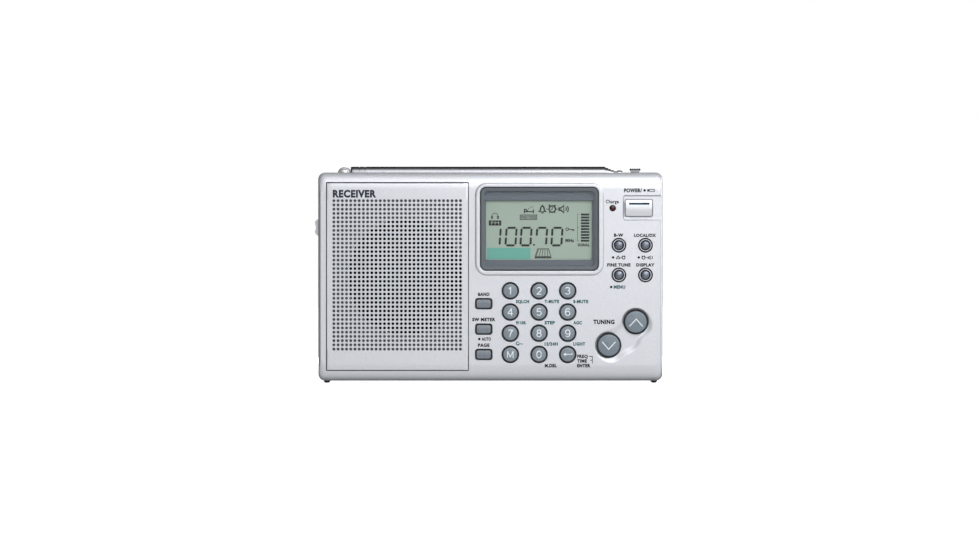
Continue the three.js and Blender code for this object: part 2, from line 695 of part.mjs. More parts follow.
const JACK_Y = 5;
const JACKS = [
  { name: "earphone_jack", z: 48, hole: 3.3, flange: 3, bore: 1.8, depth: 13, half: 3.6 },
  { name: "dc_jack", z: 33, hole: 4.3, flange: 4, bore: 2.9, depth: 10, half: 4.6, pin: 0.9 },
];

function jack({ z, flange, bore, depth, half, pin }) {
  const mouth = -RIGHT + 0.1;
  const inside = -RIGHT + SIDE_WALL + 0.2;
  const end = mouth + depth + 2;
  const body = join(
    rodX(JACK_Y, z, flange, mouth, inside + 0.5, 18),
    block(inside, end, JACK_Y - half, JACK_Y + half, z - half, z + half),
  );
  const socket = body.subtract(rodX(JACK_Y, z, bore, mouth - 1, mouth + depth, 14));
  return pin ? socket.add(rodX(JACK_Y, z, pin, mouth + 1, end - 1, 10)) : socket;
}

// A pressed basket with a magnet on its back, and the paper cone held in its rim.
function speakerFrame() {
  const outside = turned(
    [
      [0, -12.7], [28.4, -12.7], [28.4, -11.6], [25.4, -11.4], [15.2, -3.6], [14, -3.6],
      [14, 2.4], [0, 2.4],
    ],
    20,
  );
  const inside = turned([[0, -13.7], [24.6, -13.7], [24.6, -11.8], [13.6, -4.8], [0, -4.8]], 20);
  return outside.subtract(inside);
}

function speakerCone() {
  return turned(
    [
      [0, -8.6], [3.4, -8], [6, -6.2], [21, -11.6], [22.6, -12.4], [24.2, -12.6], [24.2, -12.2],
      [22.8, -11.9], [21.4, -11], [6.2, -5.6], [0, -5.6],
    ],
    20,
  );
}

function keyBoard() {
  const board = block(-9.5, 77.5, KEY_BOARD_Y, KEY_BOARD_Y + 1.6, 4.5, 94);
  const places = [
    ...KEY_COLUMNS.flatMap((x) => KEY_ROWS.map((z) => [x, z])),
    ...Object.values(BAR_KEYS).map((z) => [BAR_KEY.x, z]),
    ...Object.values(ROUND_BUTTONS),
    ...Object.values(TUNING_BUTTONS),
    [POWER.x, POWER.z],
  ];
  const domes = places.map(([x, z]) => rodY(x, z, 2, KEY_BOARD_Y - 0.5, KEY_BOARD_Y + 0.5, 6));
  const notches = SCREWS.map(([x, z]) => rodY(x, z, BOSS + 0.6, -12, -7, 14));
  const lockRoom = block(60, 74, -12, -4, 92.5, 97);
  return cut(join(board, ...domes), ...notches, lockRoom);
}

// Shield cans, integrated circuits, a crystal and coil cans on the main board:
// [x, z, width, height, thickness, side], with side -1 towards the front.
const COMPONENTS = [
  [8, 78, 24, 16, 2.4, -1], [38, 76, 16, 16, 1.4, -1], [58, 70, 9, 9, 2, -1],
  [20, 50, 18, 12, 1.4, -1], [48, 46, 12, 12, 1.4, -1], [8, 28, 10, 10, 2.2, -1],
  [34, 24, 20, 10, 1.2, -1], [58, 22, 10, 14, 2, -1], [-3, 60, 7, 12, 2, -1],
  [-4, 84, 8, 6, 4, 1], [20, 78, 14, 10, 3.4, 1], [44, 80, 10, 8, 4, 1], [62, 78, 8, 10, 3, 1],
];

function mainBoard() {
  const board = block(-9.5, 69.5, MAIN_BOARD_Y, MAIN_BOARD_Y + 1.6, 5, 90);
  const parts = COMPONENTS.map(([x, z, w, h, thick, side]) => {
    const [y0, y1] = side < 0
      ? [MAIN_BOARD_Y - thick, MAIN_BOARD_Y + 0.2]
      : [MAIN_BOARD_Y + 1.4, MAIN_BOARD_Y + 1.6 + thick];
    return block(x - w / 2, x + w / 2, y0, y1, z - h / 2, z + h / 2);
  });
  const notches = SCREWS.map(([x, z]) => rodY(x, z, BOSS + 0.6, -8, 0, 14));
  return cut(join(board, ...parts), ...notches);
}

function ferriteRod() {
  const rod = rodX(7, 83.5, 4, -50, 50, 14);
  const windings = [[-40, -26], [-8, 14], [26, 38]].map(([x0, x1]) =>
    rodX(7, 83.5, 4.8, x0, x1, 14),
  );
  return join(rod, ...windings);
}

function batteryCell(pointsUp) {
  const { r, length, nub } = CELL;
  const cell = join(
    rodZ(0, 0, r, 0, length - nub, 20),
    rodZ(0, 0, 2.6, length - nub - 0.1, length, 12),
  );
  return pointsUp ? cell : cell.mirror([0, 0, 1]).translate([0, 0, length]);
}

// One plate across all cells, with a raised contact for each.
function batteryContacts(plateZ, tipZ) {
  const up = tipZ > plateZ;
  const plate = block(BAY.x0 + 0.5, BAY.x1 - 0.5, 2, 12, plateZ, plateZ + 0.5);
  const cones = cellPlaces().map((x) => {
    const height = Math.abs(tipZ - plateZ) - (up ? 0.2 : 0);
    const geometry = new THREE.CylinderGeometry(up ? 2 : 3.6, up ? 3.6 : 2, height, 12);
    geometry.rotateX(Math.PI / 2);
    const middle = up ? tipZ - height / 2 : tipZ + height / 2;
    geometry.translate(x, CELL.y, middle);
    return solid(geometry);
  });
  return join(plate, ...cones);
}

function cellPlaces() {
  return [0, 1, 2, 3].map((i) => CELL.x0 + i * CELL.pitch);
}

// ---------------------------------------------------------------- assembly

add(radio, "front_cabinet", frontCabinet(), SILVER);
add(radio, "rear_cabinet", rearCabinet(), SILVER);
add(radio, "speaker_grille", speakerGrille(), SILVER);
add(radio, "foot_left", foot(-76.5), RUBBER);
add(radio, "foot_right", foot(76.5), RUBBER);
SCREWS.forEach(([x, z], i) => add(radio, `case_screw_${i + 1}`, caseScrew(), STEEL, [x, 0, z]));

add(radio, "lcd_bezel", lcdBezel(), DARK_PLASTIC);
add(radio, "lcd_window", lcdWindow(), CLEAR);
add(radio, "lcd_panel", lcdPanel(), LCD_GLASS);
add(radio, "charge_led", chargeLed(), RED_LENS, [LED.x, 0, LED.z]);
radio.add(buttons());

add(radio, "volume_wheel", volumeWheel(), SILVER, [WHEEL.x, WHEEL.y, WHEEL.z]);
add(radio, "volume_pot", volumePot(), STEEL);
add(radio, "lock_switch", lockSwitch(), DARK_PLASTIC, [LOCK.x, LOCK.y, 0]);
radio.add(antenna());

add(radio, "kickstand", standPlate(), SILVER);
add(radio, "battery_door", batteryDoor(), SILVER);

JACKS.forEach((socket) => add(radio, socket.name, jack(socket), BLACK_PLASTIC));
add(radio, "speaker_frame", speakerFrame(), STEEL, [SPEAKER.x, 0, SPEAKER.z]);
add(radio, "speaker_cone", speakerCone(), PAPER, [SPEAKER.x, 0, SPEAKER.z]);
add(radio, "key_board", keyBoard(), BOARD);
add(radio, "main_board", mainBoard(), BOARD);
add(radio, "ferrite_rod", ferriteRod(), FERRITE);
cellPlaces().forEach((x, i) =>
  add(radio, `battery_cell_${i + 1}`, batteryCell(i % 2 === 0), CELL_WRAP, [x, CELL.y, CELL.z]),
);
add(radio, "battery_contacts_bottom", batteryContacts(8.9, 11.7), STEEL);
add(radio, "battery_contacts_top", batteryContacts(65.6, 62.8), STEEL);

// The wheel and the tuning buttons stand out of the case on one side only, so the whole is
// moved by half of that to centre it over the origin.
const wheelReach = WHEEL.tip * Math.cos(Math.PI / WHEEL.lobes) - WHEEL.x - RIGHT;
radio.position.set(wheelReach / 2, (TUNING.rise + TUNING.crown) / 2, 0);

export default radio;
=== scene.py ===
"""The looks of a flat portable shortwave receiver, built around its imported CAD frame.

Shapes are drawn in millimetres in the case's own frame: x from the middle of the case, y from
the middle of its depth with the face towards -y, and z up from the table. SHIFT, read from the
frame, carries them to the row frame, in metres.
"""

import itertools
import math

import bmesh
import bpy
import numpy as np
from mathutils import Matrix, Vector


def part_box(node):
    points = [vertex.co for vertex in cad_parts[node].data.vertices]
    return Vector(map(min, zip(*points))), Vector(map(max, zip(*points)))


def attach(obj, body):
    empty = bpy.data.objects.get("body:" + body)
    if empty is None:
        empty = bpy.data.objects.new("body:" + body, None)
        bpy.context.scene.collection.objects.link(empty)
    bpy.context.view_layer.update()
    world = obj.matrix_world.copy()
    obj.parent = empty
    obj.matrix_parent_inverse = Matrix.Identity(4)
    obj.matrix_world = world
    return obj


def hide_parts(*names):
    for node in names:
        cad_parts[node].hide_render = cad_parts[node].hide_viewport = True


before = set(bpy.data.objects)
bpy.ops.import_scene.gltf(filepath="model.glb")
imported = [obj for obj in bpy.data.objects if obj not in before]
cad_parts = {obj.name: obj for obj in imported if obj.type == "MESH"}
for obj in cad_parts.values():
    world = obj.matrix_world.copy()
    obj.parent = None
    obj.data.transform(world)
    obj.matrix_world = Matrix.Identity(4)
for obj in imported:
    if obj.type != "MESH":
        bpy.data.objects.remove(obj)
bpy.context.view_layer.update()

# ---------------------------------------------------------------- dimensions, in millimetres

MM = 0.001
TURN = 2 * math.pi
QUARTER = math.pi / 2

RIGHT = 80.5
FACE = -16.5
BACK = 16.5
BASE = 1.0
TOP = 98.3
CORNER = 3.2
WALL = 2.0
HOLLOW = (-RIGHT + WALL, BASE + WALL, RIGHT - WALL, TOP - WALL)
HOLLOW_EDGE = 0.05
GAP = 0.3
PARTING = -2.0
BEHIND_FACE = -13.0
ROLL_DEPTH = 4.5
ROLL_HEIGHT = 7.9
SIDE_ROLL = 1.4

PLATE = (-76.8, 5.6, -10.05, 93.8)
PLATE_THICK = 1.5
SPEAKER = (-39.7, 49.6)
SPEAKER_OPENING = 27.8
RIM = (-7.05, 50.25, 53.0, 93.35)
DISPLAY = (-4.85, 52.35, 50.6, 91.5)
GLASS = (-2.05, 57.45, 47.5, 85.1)

KEY_RADIUS = 3.42
KEY_HOLE = 4.08
KEY_GLYPHS = {
    "key_1": "1", "key_2": "2", "key_3": "3", "key_4": "4", "key_5": "5", "key_6": "6",
    "key_7": "7", "key_8": "8", "key_9": "9", "key_memory": "M", "key_0": "0", "key_enter": "enter",
}
BAR_KEYS = ("band_key", "meter_key", "page_key")
ROUND_BUTTONS = ("bandwidth_button", "local_dx_button", "fine_tune_button", "display_button")
TUNING_BUTTONS = ("tuning_up_button", "tuning_down_button")
NOTCH = (62.0, 75.9, 87.7)
DISH_DEPTH = 0.65
LED_RADIUS = 1.35
INK = 0.03
BOLD = 0.055

low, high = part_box("rear_cabinet")
SHIFT = np.array([(low.x + high.x) / 2 / MM, high.y / MM - BACK, 0.0])


def centre(node):
    """A node's middle at rest, in the case's frame."""
    a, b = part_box(node)
    return (np.array(a) + np.array(b)) / 2 / MM - SHIFT


# ---------------------------------------------------------------- shapes


class Shape:
    """Points in millimetres, faces, and the number of each face's finish."""

    def __init__(self, points=(), faces=(), finishes=None):
        self.points = np.asarray(points, float).reshape(-1, 3)
        self.faces = [tuple(face) for face in faces]
        self.finishes = [0] * len(self.faces) if finishes is None else list(finishes)

    def __add__(self, other):
        start = len(self.points)
        faces = self.faces + [tuple(i + start for i in face) for face in other.faces]
        points = np.concatenate([self.points, other.points])
        return Shape(points, faces, self.finishes + other.finishes)

    def moved(self, x=0.0, y=0.0, z=0.0):
        return Shape(self.points + np.array([x, y, z]), self.faces, self.finishes)

    def turned(self, angle, axis):
        turn = np.array(Matrix.Rotation(angle, 3, axis))
        return Shape(self.points @ turn.T, self.faces, self.finishes)

    def painted(self, finish):
        self.finishes = [finish] * len(self.faces)
        return self


def total(shapes):
    return sum(shapes, Shape())


def arc(cx, cy, r, start, end, steps):
    return [(cx + r * math.cos(a), cy + r * math.sin(a)) for a in np.linspace(start, end, steps + 1)]


def quarter(r, y, across, back, start=0.0, steps=4):
    """The end of a quarter ellipse that leaves (r, y) outwards and turns back, as a profile."""
    return [(r + across * math.sin(a), y + back * (1 - math.cos(a)))
            for a in np.linspace(start, QUARTER, steps)]


def rect(x0, z0, x1, z1, r, steps=8):
    """A rounded rectangle, anticlockwise in the front view, drawn in by any amount."""

    def at(inset=0.0):
        radius = max(r - inset, 0.05)
        left, right, bottom, top = x0 + inset, x1 - inset, z0 + inset, z1 - inset
        corners = (
            (right - radius, bottom + radius), (right - radius, top - radius),
            (left + radius, top - radius), (left + radius, bottom + radius),
        )
        points = []
        for i, (cx, cz) in enumerate(corners):
            points += arc(cx, cz, radius, (i - 1) * QUARTER, i * QUARTER, steps)
        return np.array(points)

    return at


def disc(x, z, r, segments=48):
    """A circle in the front view, drawn in by any amount."""

    def at(inset=0.0):
        turns = np.linspace(0, TURN, segments, endpoint=False)
        radius = r - inset
        return np.stack([x + radius * np.cos(turns), z + radius * np.sin(turns)], 1)

    return at


def polygon(points):
    """An anticlockwise outline with mitred corners, drawn in by any amount."""
    corners = np.array(points, float)

    def at(inset=0.0):
        along = np.roll(corners, -1, 0) - corners
        along /= np.linalg.norm(along, axis=1)[:, None]
        out = np.stack([along[:, 1], -along[:, 0]], 1)
        before = np.roll(out, 1, 0)
        mitre = (before + out) / (1 + (before * out).sum(1))[:, None]
        return corners - inset * mitre

    return at


def standing(outline, y):
    """Stands an (x, z) outline up at a depth, or at one depth for each of its points."""
    return np.stack([outline[:, 0], np.broadcast_to(y, len(outline)), outline[:, 1]], 1)


def loft(rings, closed=False):
    """Skins rings of equally many points. It has end caps unless the rings close on themselves."""
    count, n = len(rings), len(rings[0])
    faces = []
    for i in range(count if closed else count - 1):
        j = (i + 1) % count
        for k in range(n):
            m = (k + 1) % n
            faces.append((i * n + k, j * n + k, j * n + m, i * n + m))
    if not closed:
        faces.append(tuple(range(n)))
        faces.append(tuple(reversed(range((count - 1) * n, count * n))))
    return Shape(np.concatenate(rings), faces)


def sweep(at, stations):
    """A solid through (y, inset) stations of an outline, from front to back."""
    return loft([standing(at(inset), y) for y, inset in stations])


def slab(at, y0, y1, front=0.0, back=0.0, steps=4):
    """A plate from y0 back to y1 with round edges of the given radii."""
    turns = np.linspace(0, QUARTER, steps + 1)
    stations = [(y0, 0.0)]
    if front:
        stations = [(y0 + front * (1 - math.cos(a)), front * (1 - math.sin(a))) for a in turns]
    if back:
        stations += [(y1 - back * (1 - math.sin(a)), back * (1 - math.cos(a))) for a in turns]
    else:
        stations.append((y1, 0.0))
    return sweep(at, stations)


def opening(at, y0, y1, flare=0.15):
    """A cutter for a hole that is open towards the front at y0, with a small chamfer there."""
    return sweep(at, [(y0 - 1, -1 - flare), (y0 + flare, 0.0), (y1, 0.0)])


def rear_opening(at, y0, y1, flare=0.15):
    """A cutter for a hole that is open towards the back at y1."""
    return sweep(at, [(y0, 0.0), (y1 - flare, 0.0), (y1 + 1, -1 - flare)])


AXES = {
    "X": lambda r, along, c, s: (along, r * c, r * s),
    "Y": lambda r, along, c, s: (r * s, along, r * c),
    "Z": lambda r, along, c, s: (r * c, r * s, along),
}


def lathe(profile, axis="Y", segments=48, closed=False):
    """Turns a profile of (radius, place along the axis). Its ends lie on the axis unless the
    profile is a closed loop."""
    place = AXES[axis]
    turns = np.linspace(0, TURN, segments, endpoint=False)
    points, rows = [], []
    for r, along in profile:
        if r < 1e-6:
            rows.append([len(points)] * segments)
            points.append(place(0.0, along, 0.0, 0.0))
        else:
            rows.append(list(range(len(points), len(points) + segments)))
            points += [place(r, along, math.cos(a), math.sin(a)) for a in turns]
    faces = []
    for a, b in zip(rows, rows[1:] + rows[:1] if closed else rows[1:]):
        for k in range(segments):
            m = (k + 1) % segments
            face = tuple(dict.fromkeys((a[k], b[k], b[m], a[m])))
            if len(face) > 2:
                faces.append(face)
    return Shape(points, faces)


def rod(radius, start, end, axis="Y", segments=48):
    return lathe([(0, start), (radius, start), (radius, end), (0, end)], axis, segments)


def rounded(profile, radius, steps=3):
    """A profile with its corners rounded by short arcs (a quadratic through each corner)."""
    points = [np.array(p, float) for p in profile]
    result = [points[0]]
    for a, b, c in zip(points, points[1:], points[2:]):
        before, after = a - b, c - b
        reach = min(radius, np.linalg.norm(before) / 2.01, np.linalg.norm(after) / 2.01)
        start = b + before / np.linalg.norm(before) * reach
        end = b + after / np.linalg.norm(after) * reach
        for t in np.linspace(0, 1, steps + 1):
            result.append((1 - t) ** 2 * start + 2 * t * (1 - t) * b + t * t * end)
    result.append(points[-1])
    return [tuple(p) for p in result]


def bar(profile, x0, x1):
    """A side-view profile of (y, z) extruded along X."""
    outline = np.array(profile, float)
    return loft([np.insert(outline, 0, x, 1) for x in (x0, x1)])


def block(x0, x1, y0, y1, z0, z1, edge=0.0):
    radius = max(edge, 0.01)
    return slab(rect(x0, z0, x1, z1, radius, 3 if edge else 1), y0, y1, edge, edge, 3)


def tube(path, radius, segments=10):
    """A round wire along a path of points."""
    path = [Vector(p) for p in path]
    rings = []
    for i, p in enumerate(path):
        along = (path[min(i + 1, len(path) - 1)] - path[max(i - 1, 0)]).normalized()
        side = along.cross(Vector((0, 0, 1) if abs(along.z) < 0.9 else (1, 0, 0))).normalized()
        up = side.cross(along)
        rings.append([p + radius * (math.cos(a) * side + math.sin(a) * up)
                      for a in np.linspace(0, TURN, segments, endpoint=False)])
    return loft([np.array(ring) for ring in rings])


def stroke(points, width, front=FACE - INK, closed=False):
    """A raised printed line through (x, z) points, with its face at y = front."""
    path = np.array(points, float)
    last = len(path) - 1
    rings = []
    for i, p in enumerate(path):
        before = p - path[i - 1] if closed or i else np.zeros(2)
        after = path[(i + 1) % len(path)] - p if closed or i < last else np.zeros(2)
        along = sum(v / (np.linalg.norm(v) or 1.0) for v in (before, after))
        sharp = min(1.5, 1 / max(np.linalg.norm(along) / 2, 0.5))
        mitre = sharp if closed or 0 < i < last else 1
        along /= np.linalg.norm(along)
        side = np.array([-along[1], along[0]]) * width / 2 * mitre
        (ax, az), (bx, bz) = p + side, p - side
        back = front + 2 * INK
        rings.append(np.array([(ax, front, az), (bx, front, bz), (bx, back, bz), (ax, back, az)]))
    return loft(rings, closed)


def patch(at, front=FACE - INK):
    """A raised printed area."""
    return sweep(at, [(front, 0.0), (front + 2 * INK, 0.0)])


# ---------------------------------------------------------------- meshes and booleans


def to_mesh(name, shape, scale=1.0, shift=(0.0, 0.0, 0.0), weld=None):
    """A mesh whose normals all point out, or whose points nearer than `weld` are merged."""
    mesh = bpy.data.meshes.new(name)
    mesh.from_pydata(((shape.points + np.array(shift)) * scale).tolist(), [], shape.faces)
    mesh.polygons.foreach_set("material_index", shape.finishes)
    whole = bmesh.new()
    whole.from_mesh(mesh)
    if weld:
        bmesh.ops.remove_doubles(whole, verts=whole.verts, dist=weld)
    else:
        bmesh.ops.recalc_face_normals(whole, faces=whole.faces)
    whole.to_mesh(mesh)
    whole.free()
    return mesh


def from_mesh(mesh):
    return Shape([v.co[:] for v in mesh.vertices], [p.vertices for p in mesh.polygons],
                 [p.material_index for p in mesh.polygons])


def placed(name, data):
    """A new object in the scene."""
    holder = bpy.data.objects.new(name, data)
    bpy.context.scene.collection.objects.link(holder)
    return holder


def evaluated(holder):
    """The mesh that an object's modifiers or letters give."""
    graph = bpy.context.evaluated_depsgraph_get()
    return bpy.data.meshes.new_from_object(holder.evaluated_get(graph))


def combine(base, tools, operation="DIFFERENCE"):
    """Cuts, joins or intersects closed shapes, one after another."""
    holders = [placed("work", to_mesh("work", shape)) for shape in (base, *tools)]
    for other in holders[1:]:
        step = holders[0].modifiers.new("step", "BOOLEAN")
        step.operation = operation
        step.solver = "MANIFOLD"
        step.object = other
    result = from_mesh(evaluated(holders[0]))
    for holder in holders:
        bpy.data.objects.remove(holder)
    return result


def repaint(shape, finish, wanted):
    """Gives a finish to every face whose middle and normal the test accepts."""
    for i, face in enumerate(shape.faces):
        corners = shape.points[list(face)]
        middle = corners.mean(0)
        following = np.roll(corners, -1, 0)
        normal = np.cross(corners - middle, following - middle).sum(0)
        normal = normal / (np.linalg.norm(normal) or 1.0)
        if wanted(middle, normal):
            shape.finishes[i] = finish
    return shape


def piece(name, shape, finishes, body, nodes=(), angle=32):
    """A finished piece of the object, riding on a body and standing for CAD nodes."""
    mesh = to_mesh(name, shape, MM, SHIFT)
    for finish in finishes:
        mesh.materials.append(finish)
    mesh.shade_smooth()
    mesh.set_sharp_from_angle(angle=math.radians(angle))
    obj = placed(name, mesh)
    weighted = obj.modifiers.new("even shading", "WEIGHTED_NORMAL")
    weighted.keep_sharp = True
    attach(obj, body)
    if nodes:
        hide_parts(*nodes)
    return obj


# ---------------------------------------------------------------- lettering


def font_shape(text, bold=0.0):
    """Solid letters in the built-in typeface, lying in the XY plane."""
    curve = bpy.data.curves.new("letters", "FONT")
    curve.body = text
    curve.space_character = 1.12
    curve.resolution_u = 3
    curve.offset = bold
    curve.extrude = 0.5
    holder = placed("letters", curve)
    shape = from_mesh(evaluated(holder))
    bpy.data.objects.remove(holder)
    return shape


CAP_HEIGHT = font_shape("H").points[:, 1].max()


def letters(text, cap, x, z, width=None, align=0.5, bold=0.0, front=FACE - INK):
    """Printed letters with capitals `cap` high, centred on z, and placed along x by `align`."""
    shape = font_shape(text, bold)
    across, up, thick = shape.points.T
    across = across - across.min()
    scale = cap / CAP_HEIGHT
    stretch = width / across.max() if width else scale
    shape.points = np.stack([
        x + (across - align * across.max()) * stretch,
        front + (0.5 - thick) * 2 * INK,
        z + up * scale - cap / 2,
    ], 1)
    return shape.painted(0)


# ---------------------------------------------------------------- materials


def linear(r, g, b):
    """A colour given as 0 to 255 sRGB values."""
    return tuple(
        (c / 255 / 12.92) if c <= 10 else ((c / 255 + 0.055) / 1.055) ** 2.4 for c in (r, g, b)
    ) + (1.0,)


def shade(color, factor):
    """A colour made lighter or darker."""
    return tuple(min(1.0, c * factor) for c in color[:3]) + (1.0,)


def new_node(tree, kind, **values):
    """A node in a material's or the world's tree, with its sockets and properties set."""
    node = tree.nodes.new(kind)
    for key, value in values.items():
        if key in node.inputs:
            node.inputs[key].default_value = value
        else:
            setattr(node, key, value)
    return node


def remap(tree, source, low, high, to_low, to_high, kind="LINEAR"):
    """Maps a value from one range to another."""
    ramp = new_node(tree, "ShaderNodeMapRange", interpolation_type=kind, **{
        "From Min": low, "From Max": high, "To Min": to_low, "To Max": to_high})
    tree.links.new(source, ramp.inputs["Value"])
    return ramp.outputs["Result"]


class Finish:
    """A procedural material: a Principled shader with noise-driven colour, gloss and relief."""

    def __init__(self, name, color, roughness, metallic=0.0, **constants):
        self.material = bpy.data.materials.new(name)
        self.material.use_nodes = True
        self.tree = self.material.node_tree
        self.shader = self.tree.nodes["Principled BSDF"]
        self.color = linear(*color)
        self.set("Base Color", self.color)
        self.set("Roughness", roughness)
        self.set("Metallic", metallic)
        for socket, value in constants.items():
            self.set(socket.replace("_", " "), value)
        self.place = self.node("ShaderNodeTexCoord").outputs["Object"]
        self.base = None

    def set(self, socket, value):
        self.shader.inputs[socket].default_value = value

    def node(self, kind, **values):
        return new_node(self.tree, kind, **values)

    def link(self, a, b):
        self.tree.links.new(a, b)

    def mapped(self, **values):
        """The place on the object, stretched or turned."""
        mapping = self.node("ShaderNodeMapping", **values)
        self.link(self.place, mapping.inputs["Vector"])
        return mapping.outputs["Vector"]

    def noise(self, size, detail=2.0, place=None):
        """Noise whose features are about `size` millimetres across."""
        noise = self.node("ShaderNodeTexNoise", Scale=1 / (size * MM), Detail=detail)
        self.link(place or self.place, noise.inputs["Vector"])
        return noise.outputs["Fac"]

    def spread(self, source, low, high):
        """Maps the middle of a noise to a range."""
        return remap(self.tree, source, 0.35, 0.65, low, high)

    def grid(self, unit, mortar, width, height, offset=0.5):
        """Thin lines between rectangles in the front view, whose sizes are in units of some
        millimetres."""
        lines = self.node("ShaderNodeTexBrick", Scale=1 / (unit * MM), offset=offset, **{
            "Mortar Size": mortar, "Brick Width": width, "Row Height": height})
        self.link(self.mapped(Rotation=(QUARTER, 0, 0)), lines.inputs["Vector"])
        return lines.outputs["Fac"]

    def tint(self, source, other):
        """Mixes another colour over the base colour, by a factor."""
        mix = self.node("ShaderNodeMix", data_type="RGBA")
        mix.inputs["A"].default_value = self.color
        if self.base:
            self.link(self.base, mix.inputs["A"])
        mix.inputs["B"].default_value = other
        self.link(source, mix.inputs["Factor"])
        self.base = mix.outputs["Result"]
        self.link(self.base, self.shader.inputs["Base Color"])
        return self

    def mottle(self, size, amount, detail=2.0):
        return self.tint(self.spread(self.noise(size, detail), 0.0, 1.0), shade(self.color, 1 - amount))

    def gloss(self, size, low, high, place=None):
        self.link(self.spread(self.noise(size, 3.0, place), low, high), self.shader.inputs["Roughness"])
        return self

    def relief(self, source, depth, strength=1.0):
        """Bumps of the given depth in millimetres."""
        bump = self.node("ShaderNodeBump", Strength=strength, Distance=depth * MM)
        self.link(source, bump.inputs["Height"])
        earlier = self.shader.inputs["Normal"]
        if earlier.is_linked:
            self.link(earlier.links[0].from_socket, bump.inputs["Normal"])
        self.link(bump.outputs["Normal"], earlier)
        return self


def silver_paint(name, color, metallic, roughness):
    """Satin silver paint: fine flake, a slight mottle and orange peel."""
    paint = Finish(name, color, roughness, metallic)
    paint.mottle(0.9, 0.05, 3.0).mottle(22.0, 0.03, 1.0)
    flakes = paint.node("ShaderNodeTexVoronoi", Scale=1 / (0.16 * MM))
    paint.link(paint.place, flakes.inputs["Vector"])
    split = paint.node("ShaderNodeSeparateColor")
    paint.link(flakes.outputs["Color"], split.inputs["Color"])
    paint.tint(remap(paint.tree, split.outputs["Red"], 0.72, 1.0, 0.0, 0.55), shade(paint.color, 1.22))
    paint.gloss(0.7, roughness - 0.05, roughness + 0.06)
    paint.relief(paint.noise(0.45, 2.0), 0.004, 0.5)
    return paint.material


def moulded(name, color, roughness, mottle=0.07, grain=0.35, depth=0.006, **constants):
    """Moulded plastic: a fine spark-eroded grain, patchy gloss and slight colour variation."""
    plastic = Finish(name, color, roughness, **constants)
    plastic.mottle(0.5, mottle, 3.0).mottle(9.0, mottle / 2, 1.0)
    plastic.gloss(1.6, roughness - 0.06, roughness + 0.08)
    plastic.relief(plastic.noise(grain, 3.0), depth, 0.6)
    return plastic.material


def metal(name, color, roughness, streaks=(40, 1, 1), depth=0.002):
    """Plated metal with faint drawn lines and finger marks."""
    plate = Finish(name, color, roughness, 1.0)
    drawn = plate.mapped(Scale=streaks)
    plate.mottle(3.0, 0.03)
    plate.gloss(5.0, roughness * 0.85, roughness * 1.2)
    plate.relief(plate.noise(6.0, 4.0, drawn), depth, 0.35)
    return plate.material


# Inks and dark parts mirror little of the studio.
MATT = {"Specular_IOR_Level": 0.12}
SILVER = silver_paint("silver paint", (206, 208, 213), 0.55, 0.38)
WHEEL_PLASTIC = moulded("pale grey plastic", (240, 241, 244), 0.35)
KEY_PLASTIC = moulded("blue-grey key plastic", (121, 131, 139), 0.32, 0.06, 0.3, 0.004)
TUNING_PLASTIC = moulded("tuning button plastic", (112, 124, 133), 0.32, 0.06, 0.3, 0.004)
BAR_PLASTIC = moulded("bar key plastic", (112, 120, 129), 0.3, 0.06, 0.3, 0.004)
BUTTON_METAL = metal("round button dome", (118, 124, 134), 0.36, (8, 8, 8), 0.002)
# Dark paint on the round edges and sides of the caps: painted shade for the gaps round them.
CAP_SIDE_SHADE = moulded("cap sides painted shade", (40, 44, 50), 0.5, 0.1, **MATT)
RIM_PLASTIC = moulded("round button rim", (168, 172, 178), 0.28, 0.05, 0.3, 0.003)
SLATE = moulded("slate plastic", (113, 121, 131), 0.42, 0.04, 0.4, 0.003)
SLATE_EDGE = moulded("slate edge", (84, 90, 96), 0.4, 0.04, 0.4, 0.003)
DARK_PLASTIC = moulded("slider plastic", (158, 160, 165), 0.38)
# Black plastic parts, and black paint used as painted shade on the walls of holes, grooves and gaps.
BLACK_AND_PAINTED_SHADE = moulded("black plastic and painted shade", (14, 15, 18), 0.55, 0.25, **MATT)
RUBBER = moulded("black rubber", (24, 24, 26), 0.82, 0.3, 0.5, 0.03)
# Dark grey: the backing seen at the floor of the grille's blind holes, and painted shade on their
# walls.
HOLE_BACKING_AND_SHADE = moulded("grille backing and painted hole shade", (70, 73, 80), 0.6, 0.2, 0.3, 0.01)
CHROME = metal("chrome", (170, 172, 176), 0.26)
STEEL = metal("nickelled steel", (190, 188, 184), 0.26, (8, 8, 8), 0.004)
COPPER = metal("enamelled copper wire", (176, 92, 52), 0.3, (8, 8, 8), 0.004)

INK_DARK = moulded("dark print", (14, 15, 20), 0.6, 0.12, **MATT)
INK_SLATE = moulded("slate print", (54, 58, 68), 0.6, 0.12, **MATT)
INK_TEAL = moulded("teal print", (2, 84, 88), 0.6, 0.12, **MATT)
INK_DEEP_TEAL = moulded("deep teal print", (2, 50, 56), 0.7, 0.12, **MATT)
INK_WHITE = moulded("white print", (224, 228, 232), 0.5, 0.03)
LCD_INK = moulded("display segments", (20, 25, 25), 0.4, 0.1)
LCD_FAINT = moulded("display outlines", (66, 75, 69), 0.4, 0.05)
LCD_TINT = moulded("display tint", (150, 164, 153), 0.4, 0.02)
LCD_TEAL = moulded("display teal block", (118, 196, 180), 0.35, 0.02)


def lcd_glass():
    """Grey-green glass with a fine reflector grain and the faint grid of its electrodes."""
    glass = Finish("display glass", (187, 205, 190), 0.32)
    glass.mottle(0.25, 0.05, 4.0).mottle(14.0, 0.03, 1.0)
    faint = glass.node("ShaderNodeMath", operation="MULTIPLY")
    glass.link(glass.grid(1.0, 0.03, 0.6, 0.6, 0.0), faint.inputs[0])
    faint.inputs[1].default_value = 0.12
    glass.tint(faint.outputs["Value"], shade(glass.color, 0.8))
    return glass.material


